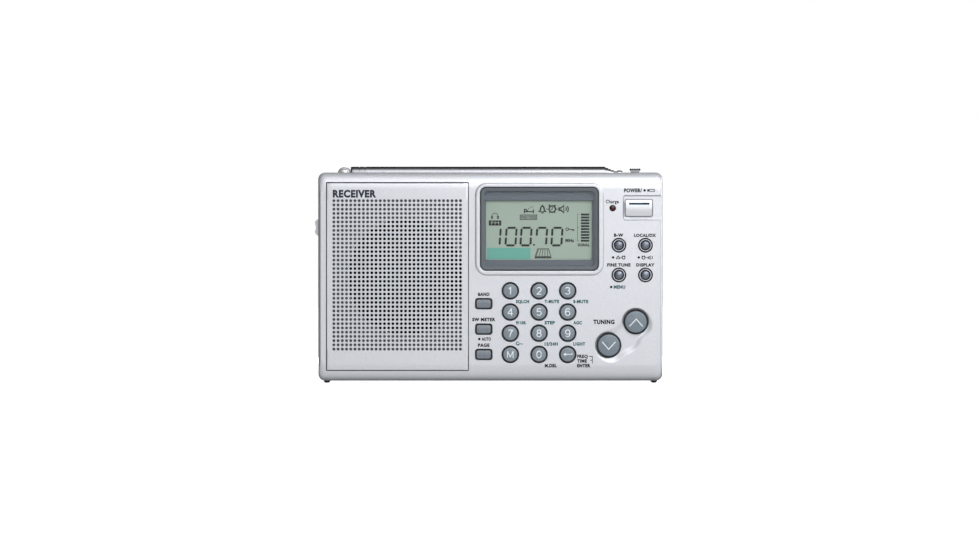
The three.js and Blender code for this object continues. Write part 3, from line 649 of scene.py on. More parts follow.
def circuit_board():
    """Green solder mask over copper tracks, with pale specks of printed marks."""
    board = Finish("circuit board", (20, 84, 48), 0.35)
    tracks = board.grid(2.4, 0.06, 1.7, 0.4)
    board.tint(tracks, linear(52, 132, 74))
    board.tint(board.spread(board.noise(1.1, 5.0), -1.6, 0.7), linear(12, 48, 30))
    board.relief(tracks, 0.04)
    board.gloss(3.0, 0.28, 0.45)
    return board.material


def textured(name, color, roughness, mottle, gloss=None, relief=None, metallic=0.0, **constants):
    """A finish given by its mottle (size, amount, detail), its gloss (size, low, high) and its
    relief (size, detail, depth)."""
    finish = Finish(name, color, roughness, metallic, **constants)
    finish.mottle(*mottle)
    if gloss:
        finish.gloss(*gloss)
    if relief:
        size, detail, depth = relief
        finish.relief(finish.noise(size, detail), depth)
    return finish.material


LCD_GLASS = lcd_glass()
CIRCUIT_BOARD = circuit_board()
# Black doped paper with felted fibres, and dull fired ferrite with pits.
CONE_PAPER = textured("cone paper", (22, 22, 23), 0.85, (0.6, 0.35, 6.0), relief=(0.5, 6.0, 0.08))
FERRITE = textured("ferrite", (58, 54, 54), 0.7, (0.8, 0.25, 5.0), relief=(0.4, 5.0, 0.05))
# Plain blue film over a metal can, with faint waves, and a pale band printed on it.
CELL_WRAP = textured("cell wrap", (38, 84, 150), 0.22, (4.0, 0.12, 2.0), (6.0, 0.16, 0.3),
                     (7.0, 2.0, 0.03), 0.35)
CELL_BAND = moulded("cell band", (226, 228, 230), 0.3, 0.04)
# Dark red translucent plastic, glossy, with faint clouding.
RED_LENS = textured("red lens", (60, 4, 12), 0.16, (0.4, 0.3, 2.0), (0.8, 0.08, 0.2),
                    Coat_Weight=0.3, Specular_IOR_Level=0.3)
# A nearly invisible glossy film over what lies behind it, lightly marked.
CLEAR_ACRYLIC = textured("clear acrylic", (84, 92, 94), 0.06, (8.0, 0.03), (9.0, 0.03, 0.1),
                         Alpha=0.12, Specular_IOR_Level=0.5)


# ---------------------------------------------------------------- the case


def roll(steps=18):
    """The case's rolled edge as shares of its depth and width, from the flat to the side: a
    quarter of an ellipse."""
    return [(1 - math.sin(a), 1 - math.cos(a)) for a in np.linspace(QUARTER, 0, steps + 1)]


def face_profile(back, y_end):
    """Side view of the front half, set back: a flat face that rolls back above and below."""
    lower = [(y_end, BASE)]
    lower += [(FACE + back + ROLL_DEPTH * away, BASE + ROLL_HEIGHT * drawn)
              for away, drawn in reversed(roll())]
    return lower + [(y, BASE + TOP - z) for y, z in reversed(lower)]


def face_depth(z):
    """How far the case's skin lies behind the flat of the face at a height."""
    inside = max(0.0, 1 - min(z - BASE, TOP - z) / ROLL_HEIGHT)
    return ROLL_DEPTH * (1 - math.sqrt(1 - inside * inside))


def front_skin():
    """The solid outline of the front half: its edges roll back far at the top and bottom and
    little at the sides."""
    stations = [(FACE + ROLL_DEPTH * away, SIDE_ROLL * drawn, ROLL_HEIGHT * drawn)
                for away, drawn in roll()]
    stations += [(PARTING - 0.2, 0.0, 0.0), (PARTING, 0.2, 0.2)]
    return loft([
        standing(rect(-RIGHT + across, BASE + up, RIGHT - across, TOP - up, CORNER, 10)(), y)
        for y, across, up in stations
    ])


def dish_outline(inset):
    """The soft dish round the two tuning buttons, as seen from the front: two discs and a
    lobe towards the lower right corner, melted together. Each level set is found by marching
    out from the middle."""
    up, down = (centre(name)[[0, 2]] for name in TUNING_BUTTONS)
    middle = (up + down) / 2
    along = (up - down) / np.linalg.norm(up - down)
    outward = np.array([along[1], -along[0]])
    lobe = 2.3 * outward
    parts = (
        (up, up, 6.8), (down, down, 7.1), (down, up, 4.0),
        (down + lobe, up + lobe, 6.5), (middle + 3.7 * outward, middle + 3.7 * outward, 6.3),
    )
    blend = 0.9

    def distance(p):
        gaps = []
        for a, b, r in parts:
            span = max((b - a) @ (b - a), 1e-9)
            share = np.clip((p - a) @ (b - a) / span, 0, 1)
            gaps.append(np.linalg.norm(p - a - share[:, None] * (b - a), axis=1) - r)
        return -blend * np.log(np.exp(-np.array(gaps) / blend).sum(0))

    turns = np.linspace(0, TURN, 144, endpoint=False)
    rays = np.stack([np.cos(turns), np.sin(turns)], 1)
    near, far = np.zeros(len(turns)), np.full(len(turns), 22.0)
    for _ in range(40):
        half = (near + far) / 2
        outside = distance(middle + rays * half[:, None]) > -inset
        far = np.where(outside, half, far)
        near = np.where(outside, near, half)
    return middle + rays * near[:, None]


def tuning_dish():
    slope = 3.0
    stations = [(FACE - 0.6, -1.4), (FACE - 0.1, -0.3), (FACE - 0.01, 0.0)]
    stations += [(FACE + DISH_DEPTH * (1 - math.cos(math.pi * t)) / 2, slope * t)
                 for t in np.linspace(0.1, 1, 12)]
    return sweep(dish_outline, stations)


def button_holes():
    """Cutters for every hole in the face."""
    deep = BEHIND_FACE + 1
    holes = []

    def round_hole(name, radius, segments=48, flare=0.1, front=FACE):
        x, _, z = centre(name)
        holes.append(opening(disc(x, z, radius, segments), front, deep, flare))

    def square_hole(name, half_width, half_height, corner, front=FACE):
        x, _, z = centre(name)
        at = rect(x - half_width, z - half_height, x + half_width, z + half_height, corner)
        holes.append(opening(at, front, deep, 0.1))

    for name in KEY_GLYPHS:
        round_hole(name, KEY_HOLE)
    for name in BAR_KEYS:
        square_hole(name, 4.05, 2.6, 1.3)
    for name in ROUND_BUTTONS:
        round_hole(name, 3.4, flare=0.12)
    for name in TUNING_BUTTONS:
        round_hole(name, 5.85, 64, front=FACE + DISH_DEPTH)
    square_hole("power_button", 6.55, 4.1, 1.1, FACE + 0.9)
    round_hole("charge_led", LED_RADIUS + 0.15, 32)
    return [*holes, sweep(disc(*SPEAKER, SPEAKER_OPENING, 72), [(FACE - 1, 0), (deep, 0)])]


def display_rim():
    """The raised frame round the display, with a broad round outer edge."""
    outer = rect(*RIM, 5.5, 12)
    inner = rect(*DISPLAY, 2.8, 12)
    top = FACE - 0.8
    root = FACE + 2.6
    rings = [(outer(-0.5), root), (outer(-0.35), FACE + 0.05), (outer(-0.12), FACE - 0.02)]
    rings += [(outer(0.75 * (1 - math.cos(a))), FACE - 0.8 * math.sin(a))
              for a in np.linspace(0.15, QUARTER, 6)]
    rings += [(inner(-0.35 * (1 - math.sin(a))), top + 0.35 * (1 - math.cos(a)))
              for a in np.linspace(0, QUARTER, 5)]
    rings.append((inner(0), root))
    return loft([standing(outline, y) for outline, y in rings], closed=True)


def front_cabinet():
    ends = (-RIGHT - 2, RIGHT + 2)
    hollow = slab(rect(*HOLLOW, 1.4, 3), BEHIND_FACE, 0.0)
    display_hole = sweep(rect(*DISPLAY, 2.8, 12), [(FACE - 3, 0), (BEHIND_FACE + 1, 0)])
    x0, z0, x1, z1 = PLATE
    seat = combine(
        slab(rect(x0, z0, x1, z1, 0.5, 4), FACE - 1, PARTING),
        [bar(face_profile(PLATE_THICK + GAP, 2.0), *ends)],
    )
    notch_left, notch_low, notch_high = NOTCH
    notch = sweep(
        rect(notch_left, notch_low, RIGHT + 4, notch_high, 0.9, 6),
        [(FACE - 0.5, -0.45), (FACE, -0.05), (FACE + 0.1, 0.05), (FACE + 0.85, 0.5),
         (FACE + 0.9, 0.65)],
    )
    wheel = centre("volume_wheel")
    wheel_slot = rod(8.5, -2.1, 2.1, "Y", 96).moved(*wheel)
    lock = centre("lock_switch")
    lock_slot = block(lock[0] - 5.2, lock[0] + 2.2, -8.6, -5.4, TOP - 4, TOP + 1, 0.3)
    return repaint(
        combine(
            combine(combine(front_skin(), [hollow, display_hole]), [display_rim()], "UNION"),
            [seat, notch, wheel_slot, lock_slot, tuning_dish(), *button_holes()],
        ),
        1,
        hole_shade_or_inside,
    )


def hole_shade_or_inside(middle, normal):
    """Whether a face of the front half is painted black: a hole's or the grille seat's wall past a
    fraction of a millimetre, as painted shade, or the hidden inside.
    """
    x, y, z = middle
    _, low, right, high = HOLLOW
    within = abs(x) < right - 2 * HOLLOW_EDGE and low + HOLLOW_EDGE < z < high - HOLLOW_EDGE
    if not within or y > PARTING - 0.3:
        return False
    x0, z0, x1, z1 = PLATE
    in_seat = x0 - 0.1 < x < x1 + 0.1 and z0 - 0.1 < z < z1 + 0.1
    # Past 0.6 mm the seat's walls are painted black, as painted shade in the groove round the plate.
    if in_seat:
        return y > FACE + 0.6
    if x > 61.5 and 75 < z < 88:
        return y > FACE + 1.3
    # Hole walls past 0.2 mm are painted black, as painted shade in the gaps round the caps.
    return y > FACE + 0.2 and abs(normal[1]) < 0.5 or y > FACE + 2.5


FRONT = front_cabinet()
piece("front_cabinet_shell", FRONT, [SILVER, BLACK_AND_PAINTED_SHADE], "case", ["front_cabinet"])


# ---------------------------------------------------------------- the speaker grille


def grille():
    """The perforated plate: 31 by 36 holes, open in a circle over the speaker and blind
    elsewhere, in a skin that follows the face."""
    columns, rows = 31, 36
    across, up = 1.97, 1.98
    left, bottom = -73.1, 15.78
    hole, lip, segments = 0.67, 0.09, 16
    gap, top_gap, floor_depth, open_depth = 0.3, 0.45, 0.5, PLATE_THICK
    open_radius = 27.5
    x0, z0, x1, z1 = PLATE
    x0, z0, x1, z1 = x0 + gap, z0 + gap, x1 - gap, z1 - top_gap

    turns = np.arange(segments) * TURN / segments
    ray = np.stack([np.cos(turns), np.sin(turns)], 1)
    square = ray / np.abs(ray).max(1)[:, None]
    points, faces, finishes = [], [], []
    known = {}

    def point(x, y, z):
        key = (round(x, 4), round(y, 4), round(z, 4))
        if key not in known:
            known[key] = len(points)
            points.append((x, y, z))
        return known[key]

    def face(corners, finish=0):
        faces.append(tuple(corners))
        finishes.append(finish)

    def wall(a, b, finish=0):
        for k in range(segments):
            m = (k + 1) % segments
            face((a[k], b[k], b[m], a[m]), finish)

    def square_ring(depth):
        return [point(cx + u * across / 2, FACE + depth, cz + v * up / 2) for u, v in square]

    def round_ring(radius, depth):
        return [point(cx + u * radius, FACE + depth, cz + v * radius) for u, v in ray]

    blind = []
    for i, j in itertools.product(range(columns), range(rows)):
        cx, cz = left + i * across, bottom + j * up
        is_open = math.hypot(cx - SPEAKER[0], cz - SPEAKER[1]) < open_radius
        depth = open_depth if is_open else floor_depth
        rings = [square_ring(0), round_ring(hole + lip, 0), round_ring(hole, lip),
                 round_ring(hole, depth)]
        wall(rings[0], rings[1])
        wall(rings[1], rings[2])
        # Below the lip the hole walls are painted shade: black in the open holes, the backing's dark
        # grey in the blind ones. The plate's back round the open holes is black too.
        wall(rings[2], rings[3], 2 if is_open else 1)
        if is_open:
            wall(rings[3], square_ring(depth), 2)
        else:
            face(rings[3][::-1], 1)
            blind.append((cx, cz))
    # The back of the plate behind the blind holes, one square for each.
    for cx, cz in blind:
        face(square_ring(open_depth), 2)
    field = (left - across / 2, bottom - up / 2,
             left + (columns - 0.5) * across, bottom + (rows - 0.5) * up)
    perforated = Shape(points, faces, finishes)

    # The plain border round the field of holes, as a frame that shares its edge points.
    along_x = sorted({round(p[0], 4) for p in points if abs(p[2] - field[1]) < 1e-3})
    along_z = sorted({round(p[2], 4) for p in points if abs(p[0] - field[0]) < 1e-3})
    edge = ([(x, field[1]) for x in along_x[:-1]] + [(field[2], z) for z in along_z[:-1]]
            + [(x, field[3]) for x in along_x[:0:-1]] + [(field[0], z) for z in along_z[:0:-1]])
    return perforated + rounded_border(np.array(edge), field, (x0, z0, x1, z1), open_depth)


def rounded_border(edge, field, outer, thick):
    """The border of the grille plate, from the field's edge out to the plate's rounded rim."""
    x0, z0, x1, z1 = outer
    rim = 0.3

    def reach(amount, inset):
        """Points between the field's edge and the rim, straight out from each edge point."""
        result = edge.copy()
        limits = ((field[0], x0 + inset, 0), (field[2], x1 - inset, 0),
                  (field[1], z0 + inset, 1), (field[3], z1 - inset, 1))
        for start, end, axis in limits:
            on = np.abs(edge[:, axis] - start) < 1e-3
            result[on, axis] = start + (end - start) * amount
        return result

    rings = [(reach(0, 0), 0.0)]
    for amount in (0.3, 0.55, 0.68, 0.76, 0.82, 0.87, 0.92, 0.96, 1.0):
        rings.append((reach(amount, rim), 0.0))
    for a in np.linspace(0.3, QUARTER, 4):
        rings.append((reach(1, rim * (1 - math.sin(a))), rim * (1 - math.cos(a))))
    rings.append((reach(1, 0), thick))
    rings.append((reach(0, 0), thick))
    shape = loft([
        standing(outline, FACE + np.array([face_depth(z) for z in outline[:, 1]]) + depth)
        for outline, depth in rings
    ], closed=True)
    count, n = len(rings), len(edge)
    shape.faces = shape.faces[: (count - 1) * n]
    # The outer edge wall of the plate and its back are painted black: painted shade in the groove round
    # the plate.
    shape.finishes = [0] * (count - 3) * n + [2] * 2 * n
    return shape


# The plate's two parts, drawn side by side, are welded into one skin.
piece("speaker_grille_plate", from_mesh(to_mesh("weld", grille(), weld=0.002)),
      [SILVER, HOLE_BACKING_AND_SHADE, BLACK_AND_PAINTED_SHADE], "case", ["speaker_grille"])


# ---------------------------------------------------------------- buttons


def curve(cx, cz, rx, rz, start, end, steps=10):
    """An elliptical arc between two angles in degrees."""
    turns = np.radians(np.linspace(start, end, steps + 1))
    return [(cx + rx * math.cos(a), cz + rz * math.sin(a)) for a in turns]


def finely(*corners, step=0.4):
    """Straight lines between corners, with points close enough to follow a crowned cap."""
    points = [corners[0]]
    for a, b in zip(corners, corners[1:]):
        count = max(1, round(math.dist(a, b) / step))
        points += [(a[0] + (b[0] - a[0]) * t / count, a[1] + (b[1] - a[1]) * t / count)
                   for t in range(1, count + 1)]
    return points


GLYPHS = {
    "1": [finely((-0.75, 0.95), (0.15, 1.6), (0.15, -1.65))],
    "2": [curve(0, 0.62, 1.02, 0.98, 165, -30) + finely((0.7, -0.1), (-1.05, -1.55), (1.1, -1.55))],
    "3": [curve(-0.05, 0.82, 0.95, 0.76, 160, -80), curve(-0.05, -0.74, 1.05, 0.84, 82, -160)],
    "4": [finely((0.5, -1.65), (0.5, 1.6), (-1.15, -0.7), (1.2, -0.7))],
    "5": [finely((0.95, 1.55), (-0.7, 1.55), (-0.9, 0.15))
          + curve(-0.02, -0.55, 1.05, 1.0, 130, -155)],
    "6": [curve(0.05, 0.2, 1.1, 1.4, 40, 180) + curve(0, -0.58, 1.03, 1.0, 180, 520, 18)],
    "7": [finely((-1.05, 1.5), (1.1, 1.5), (0.2, 0.1), (-0.25, -1.65))],
    "8": [curve(0, 0.84, 0.84, 0.74, -90, 262, 16), curve(0, -0.77, 1.03, 0.84, 90, 442, 16)],
    "9": [curve(0, 0.58, 1.03, 1.0, 0, 340, 18)[::-1] + curve(-0.05, -0.2, 1.1, 1.4, 0, -140)],
    "M": [finely((-1.3, -1.6), (-1.3, 1.55), (0, -1.2), (1.3, 1.55), (1.3, -1.6))],
    "0": [curve(0, 0, 1.05, 1.62, 0, 352, 26)],
    "enter": [finely((2.0, 0.75), (2.0, 0.05), (-1.6, 0.05)),
              finely((-0.8, 0.65), (-1.85, 0.05), (-0.8, -0.55))],
}

FLANGE_FRONT = -12.6
FLANGE_BACK = -11.9
STEM_END = -11.6
STEM_RADIUS = 1.5


def root(radius, flange):
    """The hidden end of a round cap's profile: its side, flange and stem."""
    return [(radius, FLANGE_FRONT), (flange, FLANGE_FRONT), (flange, FLANGE_BACK),
            (STEM_RADIUS, FLANGE_BACK), (STEM_RADIUS, STEM_END), (0, STEM_END)]


def flat_root(x, z, half_width, half_height):
    """What holds a rectangular cap in its hole: a flange, and a stem that presses its dome."""
    flange = block(x - half_width, x + half_width, FLANGE_FRONT, FLANGE_BACK,
                   z - half_height, z + half_height, 0.2)
    return flange + rod(STEM_RADIUS, FLANGE_BACK - 0.1, STEM_END).moved(x, 0, z)


def dome(front, crown, radius, edge, flange, rings=5):
    """The profile of a round cap: a shallow crown, a round edge, then its flange and stem."""
    flat = radius - edge
    profile = [(flat * t, front + crown * t * t) for t in np.linspace(0, 1, rings + 1)]
    return profile + quarter(flat, front + crown, edge, edge, QUARTER / 6, 6) + root(radius, flange)


def on_dome(shape, x, z, crown, flat):
    """Moves flat print back onto a crowned cap."""
    away = np.hypot(shape.points[:, 0] - x, shape.points[:, 2] - z)
    shape.points[:, 1] += crown * (away / flat) ** 2
    return shape


def shade_painted_sides(cap, finish):
    """Leaves the front of a cap in its own colour, and paints its round edge and sides dark: painted
    shade, standing for the dark gap round the cap.
    """
    return repaint(cap, finish, lambda middle, normal: abs(normal[1]) < 0.75)


def key_cap(name, shape, finishes):
    piece(name + "_cap", shape, finishes, name, [name])


def number_key(name, glyph):
    x, _, z = centre(name)
    front, crown, edge = FACE - 1.05, 0.22, 0.55
    cap = shade_painted_sides(lathe(dome(front, crown, KEY_RADIUS, edge, 4.6), "Y", 64), 2).moved(x, 0, z)
    width = 0.36 if glyph in ("M", "enter") else 0.4
    mark = total(stroke([(x + a, z + b) for a, b in path], width, front - INK)
                 for path in GLYPHS[glyph]).painted(1)
    mark = on_dome(mark, x, z, crown, KEY_RADIUS - edge)
    key_cap(name, cap + mark, [KEY_PLASTIC, INK_WHITE, CAP_SIDE_SHADE])


def pillow(x, z, w, h, r, front, crown, edge, back):
    """A rectangular cap with round edges, whose front is curved from top to bottom."""
    at = rect(x - w / 2, z - h / 2, x + w / 2, z + h / 2, r, 6)
    cap = slab(at, front, back, edge, 0.0, 5)
    heights = np.linspace(-1, 1, 21)
    curved = [(front + crown * t * t, z + t * (h / 2 + 0.1)) for t in heights]
    skin = bar([(back + 1, z - h), (curved[0][0], z - h)] + curved
               + [(curved[-1][0], z + h), (back + 1, z + h)], x - w, x + w)
    return combine(cap, [skin], "INTERSECT")


def bar_key(name):
    x, _, z = centre(name)
    cap = shade_painted_sides(pillow(x, z, 6.9, 3.9, 1.0, FACE - 0.8, 0.3, 0.45, FLANGE_FRONT), 1)
    key_cap(name, cap + flat_root(x, z, 4.6, 3), [BAR_PLASTIC, CAP_SIDE_SHADE])


def round_button(name):
    """A pale raised rim round a groove painted black as painted shade, with a bright dome in the
    middle.
    """
    x, _, z = centre(name)
    front = FACE - 0.7
    profile = [(0, front - 0.1)] + quarter(0, front - 0.1, 2.05, 0.85, 0.12, 12)
    profile += [(2.1, front + 0.8), (2.24, front + 0.74), (2.32, front + 0.4), (2.4, front + 0.12),
                (2.5, front + 0.02), (2.6, front), (2.7, front + 0.03)]
    profile += quarter(2.7, front + 0.03, 0.25, 0.25, 0.3, 4) + root(2.95, 3.9)
    cap = lathe(profile, "Y", 64).moved(x, 0, z)
    rim, groove, side = 2.33, 1.95, 2.85

    def away(middle):
        return math.hypot(middle[0] - x, middle[2] - z)

    repaint(cap, 1, lambda middle, _: away(middle) > rim and middle[1] < FACE)
    # The groove is painted black and, past the rim, the sides dark: painted shade.
    repaint(cap, 2, lambda middle, _: groove < away(middle) < rim and middle[1] > front + 0.3)
    repaint(cap, 3, lambda middle, _: away(middle) > side)
    key_cap(name, cap, [BUTTON_METAL, RIM_PLASTIC, BLACK_AND_PAINTED_SHADE, CAP_SIDE_SHADE])


def tuning_button(name, chevron):
    x, _, z = centre(name)
    front, crown, edge, radius = FACE - 1.5, 0.3, 0.65, 5.22
    cap = shade_painted_sides(lathe(dome(front, crown, radius, edge, 6.2), "Y", 80), 2).moved(x, 0, z)
    mark = stroke([(x + a, z + b) for a, b in finely(*chevron)], 0.42, front - INK).painted(1)
    mark = on_dome(mark, x, z, crown, radius - edge)
    key_cap(name, cap + mark, [TUNING_PLASTIC, INK_WHITE, CAP_SIDE_SHADE])


def power_button():
    x, _, z = centre("power_button")
    cap = pillow(x, z, 12.5, 7.6, 0.9, FACE - 0.65, 0.5, 0.4, FLANGE_FRONT)
    line = block(x - 4.65, x + 4.95, FACE - 0.59, FACE - 0.2, z + 1.5, z + 2.4, 0.05).painted(1)
    piece("power_button_cap", cap + flat_root(x, z, 7.3, 4.8) + line, [SILVER, INK_DEEP_TEAL],
          "power_button", ["power_button"])


for key_name, key_glyph in KEY_GLYPHS.items():
    number_key(key_name, key_glyph)
for key_name in BAR_KEYS:
    bar_key(key_name)
for key_name in ROUND_BUTTONS:
    round_button(key_name)
tuning_button("tuning_up_button", [(-3.0, -2.1), (0.2, 1.3), (3.2, -2.1)])
tuning_button("tuning_down_button", [(-3.1, 1.6), (-0.1, -1.9), (3.1, 1.6)])
power_button()


# ---------------------------------------------------------------- display


def charge_led():
    x, _, z = centre("charge_led")
    r = LED_RADIUS
    back = BEHIND_FACE + 1.6
    profile = quarter(0, FACE - 0.2, r, 0.5, 0, 8)
    profile += [(r, BEHIND_FACE + 0.6), (r + 0.4, BEHIND_FACE + 0.6), (r + 0.4, back), (0, back)]
    lens = lathe(profile, "Y", 40).moved(x, 0, z)
    piece("charge_led_lens", lens, [RED_LENS], "case", ["charge_led"])


def lcd_bezel():
    x0, z0, x1, z1 = DISPLAY
    edge, gap = 0.6, 0.22
    frame_at = rect(x0 + gap, z0 + gap, x1 - gap, z1 - gap, 2.6, 12)
    front = FACE - 0.25
    stations = [(front + 0.12, 1.75), (front + 0.12, 1.45), (front, edge + 0.1), (front, edge)]
    stations += [(front + 0.5 * (1 - math.cos(a)), edge * (1 - math.sin(a)))
                 for a in np.linspace(0.3, QUARTER, 6)]
    stations.append((-14.2, 0.0))
    solid = sweep(frame_at, stations)
    seat = sweep(rect(x0 + 1.9, z0 + 1.9, x1 - 1.9, z1 - 1.9, 1.4, 8), [(FACE - 1, 0), (-15.2, 0)])
    view = sweep(rect(*GLASS, 0.3, 4), [(FACE - 1, -0.3), (-15.2, -0.3), (-14.9, 0), (-14, 0)])
    bezel = combine(solid, [seat, view])

    def on_edge(middle, _):
        across = min(middle[0] - x0, x1 - middle[0])
        up = min(middle[2] - z0, z1 - middle[2])
        return min(across, up) < 2.0 and middle[1] < FACE + 0.6

    bezel = repaint(bezel, 1, on_edge)
    piece("lcd_bezel_frame", bezel, [SLATE, SLATE_EDGE], "case", ["lcd_bezel"])


def lcd_window():
    x0, z0, x1, z1 = DISPLAY
    inset = 2.15
    pane = slab(rect(x0 + inset, z0 + inset, x1 - inset, z1 - inset, 1.2, 8), -16.35, -15.5, 0.2, 0.05)
    piece("lcd_window_pane", pane, [CLEAR_ACRYLIC], "case", ["lcd_window"])


SEGMENTS = {"0": "abcdef", "1": "bc", "7": "abcf"}
LCD_FRONT = -13.9


def digit(symbol, x, z, w, h, front):
    """A seven-segment digit from its lower left corner, slanted to the right."""
    t, gap, lean = 1.0, 0.36, 0.07
    half = h / 2

    def bar_between(ax, az, bx, bz):
        a, b = np.array([ax, az]), np.array([bx, bz])
        along = (b - a) / np.linalg.norm(b - a)
        side = np.array([-along[1], along[0]]) * t / 2
        a, b = a + along * gap, b - along * gap
        corners = [a + along * t * 0.3 - side, b - along * t * 0.3 - side, b + along * 0.1,
                   b - along * t * 0.3 + side, a + along * t * 0.3 + side, a - along * 0.1]
        corners = [(x + p[0] + lean * p[1], z + p[1]) for p in corners]
        return patch(polygon(corners), front)

    m = t / 2
    lines = {
        "a": (m, h - m, w - m, h - m), "b": (w - m, half, w - m, h - m), "c": (w - m, m, w - m, half),
        "d": (m, m, w - m, m), "e": (m, m, m, half), "f": (m, half, m, h - m),
    }
    return total(bar_between(*lines[s]) for s in SEGMENTS[symbol])


def display_icons(front):
    """The small outline symbols: bed, bell, clock, loudspeaker and key."""

    def line(points, width=0.5, closed=False):
        return stroke(points, width, front, closed)

    def ring(x, z, r, width=0.5):
        return line(arc(x, z, r, 0, TURN, 20)[:-1], width, True)

    bed = line([(15.9, 81.4), (15.9, 79.2)]) + line([(15.9, 80.0), (20.1, 80.0)])
    bed += line([(20.1, 81.1), (20.1, 79.2)]) + line([(16.3, 81.2), (17.4, 80.3)], 0.6)
    bed += total(line([(17.6 + i * 0.9, 81.2 + i * 0.5), (18.1 + i * 0.9, 81.5 + i * 0.5)], 0.32)
                 for i in range(3))
    bell = line([(22.7, 80.0), (23.4, 80.7), (23.6, 82.0), (24.3, 82.8), (25.0, 82.0), (25.2, 80.7),
                 (25.9, 80.0)], 0.68, True)
    bell += line(arc(24.3, 79.8, 0.5, math.pi, TURN, 6), 0.4) + line([(24.3, 82.8), (24.3, 83.3)], 0.45)
    clock = ring(28.9, 81.2, 1.5, 0.66) + line([(28.9, 82.2), (28.9, 81.1), (28.1, 80.7)], 0.38)
    clock += line([(27.2, 82.6), (27.9, 83.2)], 0.55) + line([(29.9, 83.2), (30.6, 82.6)], 0.55)
    clock += line([(27.9, 79.8), (27.4, 79.3)], 0.4) + line([(29.9, 79.8), (30.4, 79.3)], 0.4)
    horn = line([(32.1, 80.7), (33.0, 80.7), (34.3, 79.5), (34.3, 82.9), (33.0, 81.7), (32.1, 81.7)],
                0.66, True)
    for radius, steps in ((1.3, 6), (2.2, 8)):
        horn += line(arc(34.2, 81.2, radius, -0.7, 0.7, steps), 0.5)
    links = line([(26.1, 81.2), (27.0, 81.2)], 0.36) + line([(30.7, 81.2), (31.6, 81.2)], 0.36)
    key = ring(35.9, 71.8, 0.62, 0.36) + line([(36.6, 71.8), (39.1, 71.6)], 0.4)
    key += line([(38.4, 71.6), (38.4, 70.9)], 0.36) + line([(39.0, 71.6), (39.0, 70.9)], 0.36)
    return bed + bell + clock + horn + links + key


def headphones(front):
    pads = [block(x - 0.45, x + 0.45, front, front + 0.06, 76.65, 78.0) for x in (0.75, 3.55)]
    return stroke(arc(2.15, 77.9, 1.4, 0.05, math.pi - 0.05, 12), 0.3, front) + total(pads)


def signal_scale(front):
    return total(
        patch(polygon([(42.3, z), (46.2, z), (46.2, z + 0.92), (42.3, z + 0.92)]), front)
        for z in 65.95 + 1.36 * np.arange(10)
    )


def scale_frame(front):
    frame_line = stroke([(41.4, 78.8), (40.7, 78.8), (40.7, 66.4), (41.4, 66.4)], 0.2, front)
    return frame_line + stroke([(40.7, 72.5), (41.4, 72.5)], 0.26, front)


def lcd_panel():
    """The display's glass with its segments: dark ones, faint outlines, and two tinted areas."""
    x0, z0, x1, z1 = GLASS
    front = LCD_FRONT - INK
    glass = slab(rect(x0 - 2.2, z0 - 3.2, x1 + 2.2, z1 + 3.6, 0.4, 3), LCD_FRONT, -11.3, 0.15, 0.15)
    height, bottom = 9.2, 63.75
    dark = digit("1", 0.0, bottom, 4.75, height, front)
    dark += total(digit(s, x, bottom, 5.65, height, front)
                  for s, x in (("0", 6.5), ("0", 13.5), ("7", 20.8), ("0", 27.95)))
    dark += patch(rect(19.95, 64.1, 20.8, 64.95, 0.2, 3), front)
    dark += display_icons(front) + signal_scale(front)
    dark += letters("MHz", 1.3, 37.1, 66.55, 4.1, bold=0.06, front=front)
    dark += letters("SIGNAL", 1.2, 43.6, 64.45, 5.6, bold=0.05, front=front)
    dark += patch(rect(-0.75, 73.5, 5.1, 75.9, 0.12, 2), front)
    pale = letters("FM", 1.35, 2.2, 74.7, 3.7, front=front - INK)
    x, z = 24.6, 60.5
    outline = [(x - 2.5, z + 2.1), (x - 3.7, z - 1.5), (x + 3.7, z - 1.5), (x + 2.5, z + 2.1)]
    faint = stroke(outline, 0.4, front, True)
    faint += total(stroke([(x + a, z + 2.1), (x + a * 1.45 - 0.5, z - 1.5)], 0.3, front)
                   for a in np.linspace(-1.9, 1.9, 5))
    faint += patch(rect(x - 3.9, z - 2.35, x + 3.9, z - 1.55, 0.1, 2), front)
    left, low, right, high = box = (13.9, 76.3, 21.7, 78.5)
    faint += stroke([(left, low), (right, low), (right, high), (left, high)], 0.3, front, True)
    faint += letters("FINE TUNE", 1.3, 17.8, 77.4, 7.0, bold=0.01, front=front)
    faint += headphones(front) + scale_frame(front)
    teal = patch(rect(-1.62, 57.75, 18.7, 63.1, 0.1, 2), front)
    tint = patch(rect(*box, 0.1, 2), LCD_FRONT - INK / 2)
    layers = [glass, dark, faint, teal, tint]
    panel = total(layer.painted(i) for i, layer in enumerate(layers)) + pale
    piece("lcd_panel_display", panel, [LCD_GLASS, LCD_INK, LCD_FAINT, LCD_TEAL, LCD_TINT], "case",
          ["lcd_panel"])


charge_led()
lcd_bezel()
lcd_window()
lcd_panel()


# ---------------------------------------------------------------- printed legends


def bell_mark(x, z):
    side = [(0.85, -0.5), (0.5, 0.2)]
    body = [(x - a, z + b) for a, b in side] + [(x, z + 0.8)] + [(x + a, z + b) for a, b in side[::-1]]
    return stroke(body, 0.4, closed=True)


def clock_mark(x, z):
    return (stroke(arc(x, z, 0.7, 0, TURN, 14)[:-1], 0.4, closed=True)
            + stroke([(x - 0.8, z + 0.55), (x - 0.4, z + 0.9)], 0.3)
            + stroke([(x + 0.4, z + 0.9), (x + 0.8, z + 0.55)], 0.3))


def horn_mark(x, z):
    body = [(x - 0.7, z - 0.25), (x - 0.2, z - 0.25), (x + 0.4, z - 0.8), (x + 0.4, z + 0.8),
            (x - 0.2, z + 0.25), (x - 0.7, z + 0.25)]
    return stroke(body, 0.38, closed=True) + stroke(arc(x + 0.4, z, 0.95, -0.8, 0.8, 5), 0.36)


def dot(x, z, r=0.58):
    return patch(disc(x, z, r, 16))


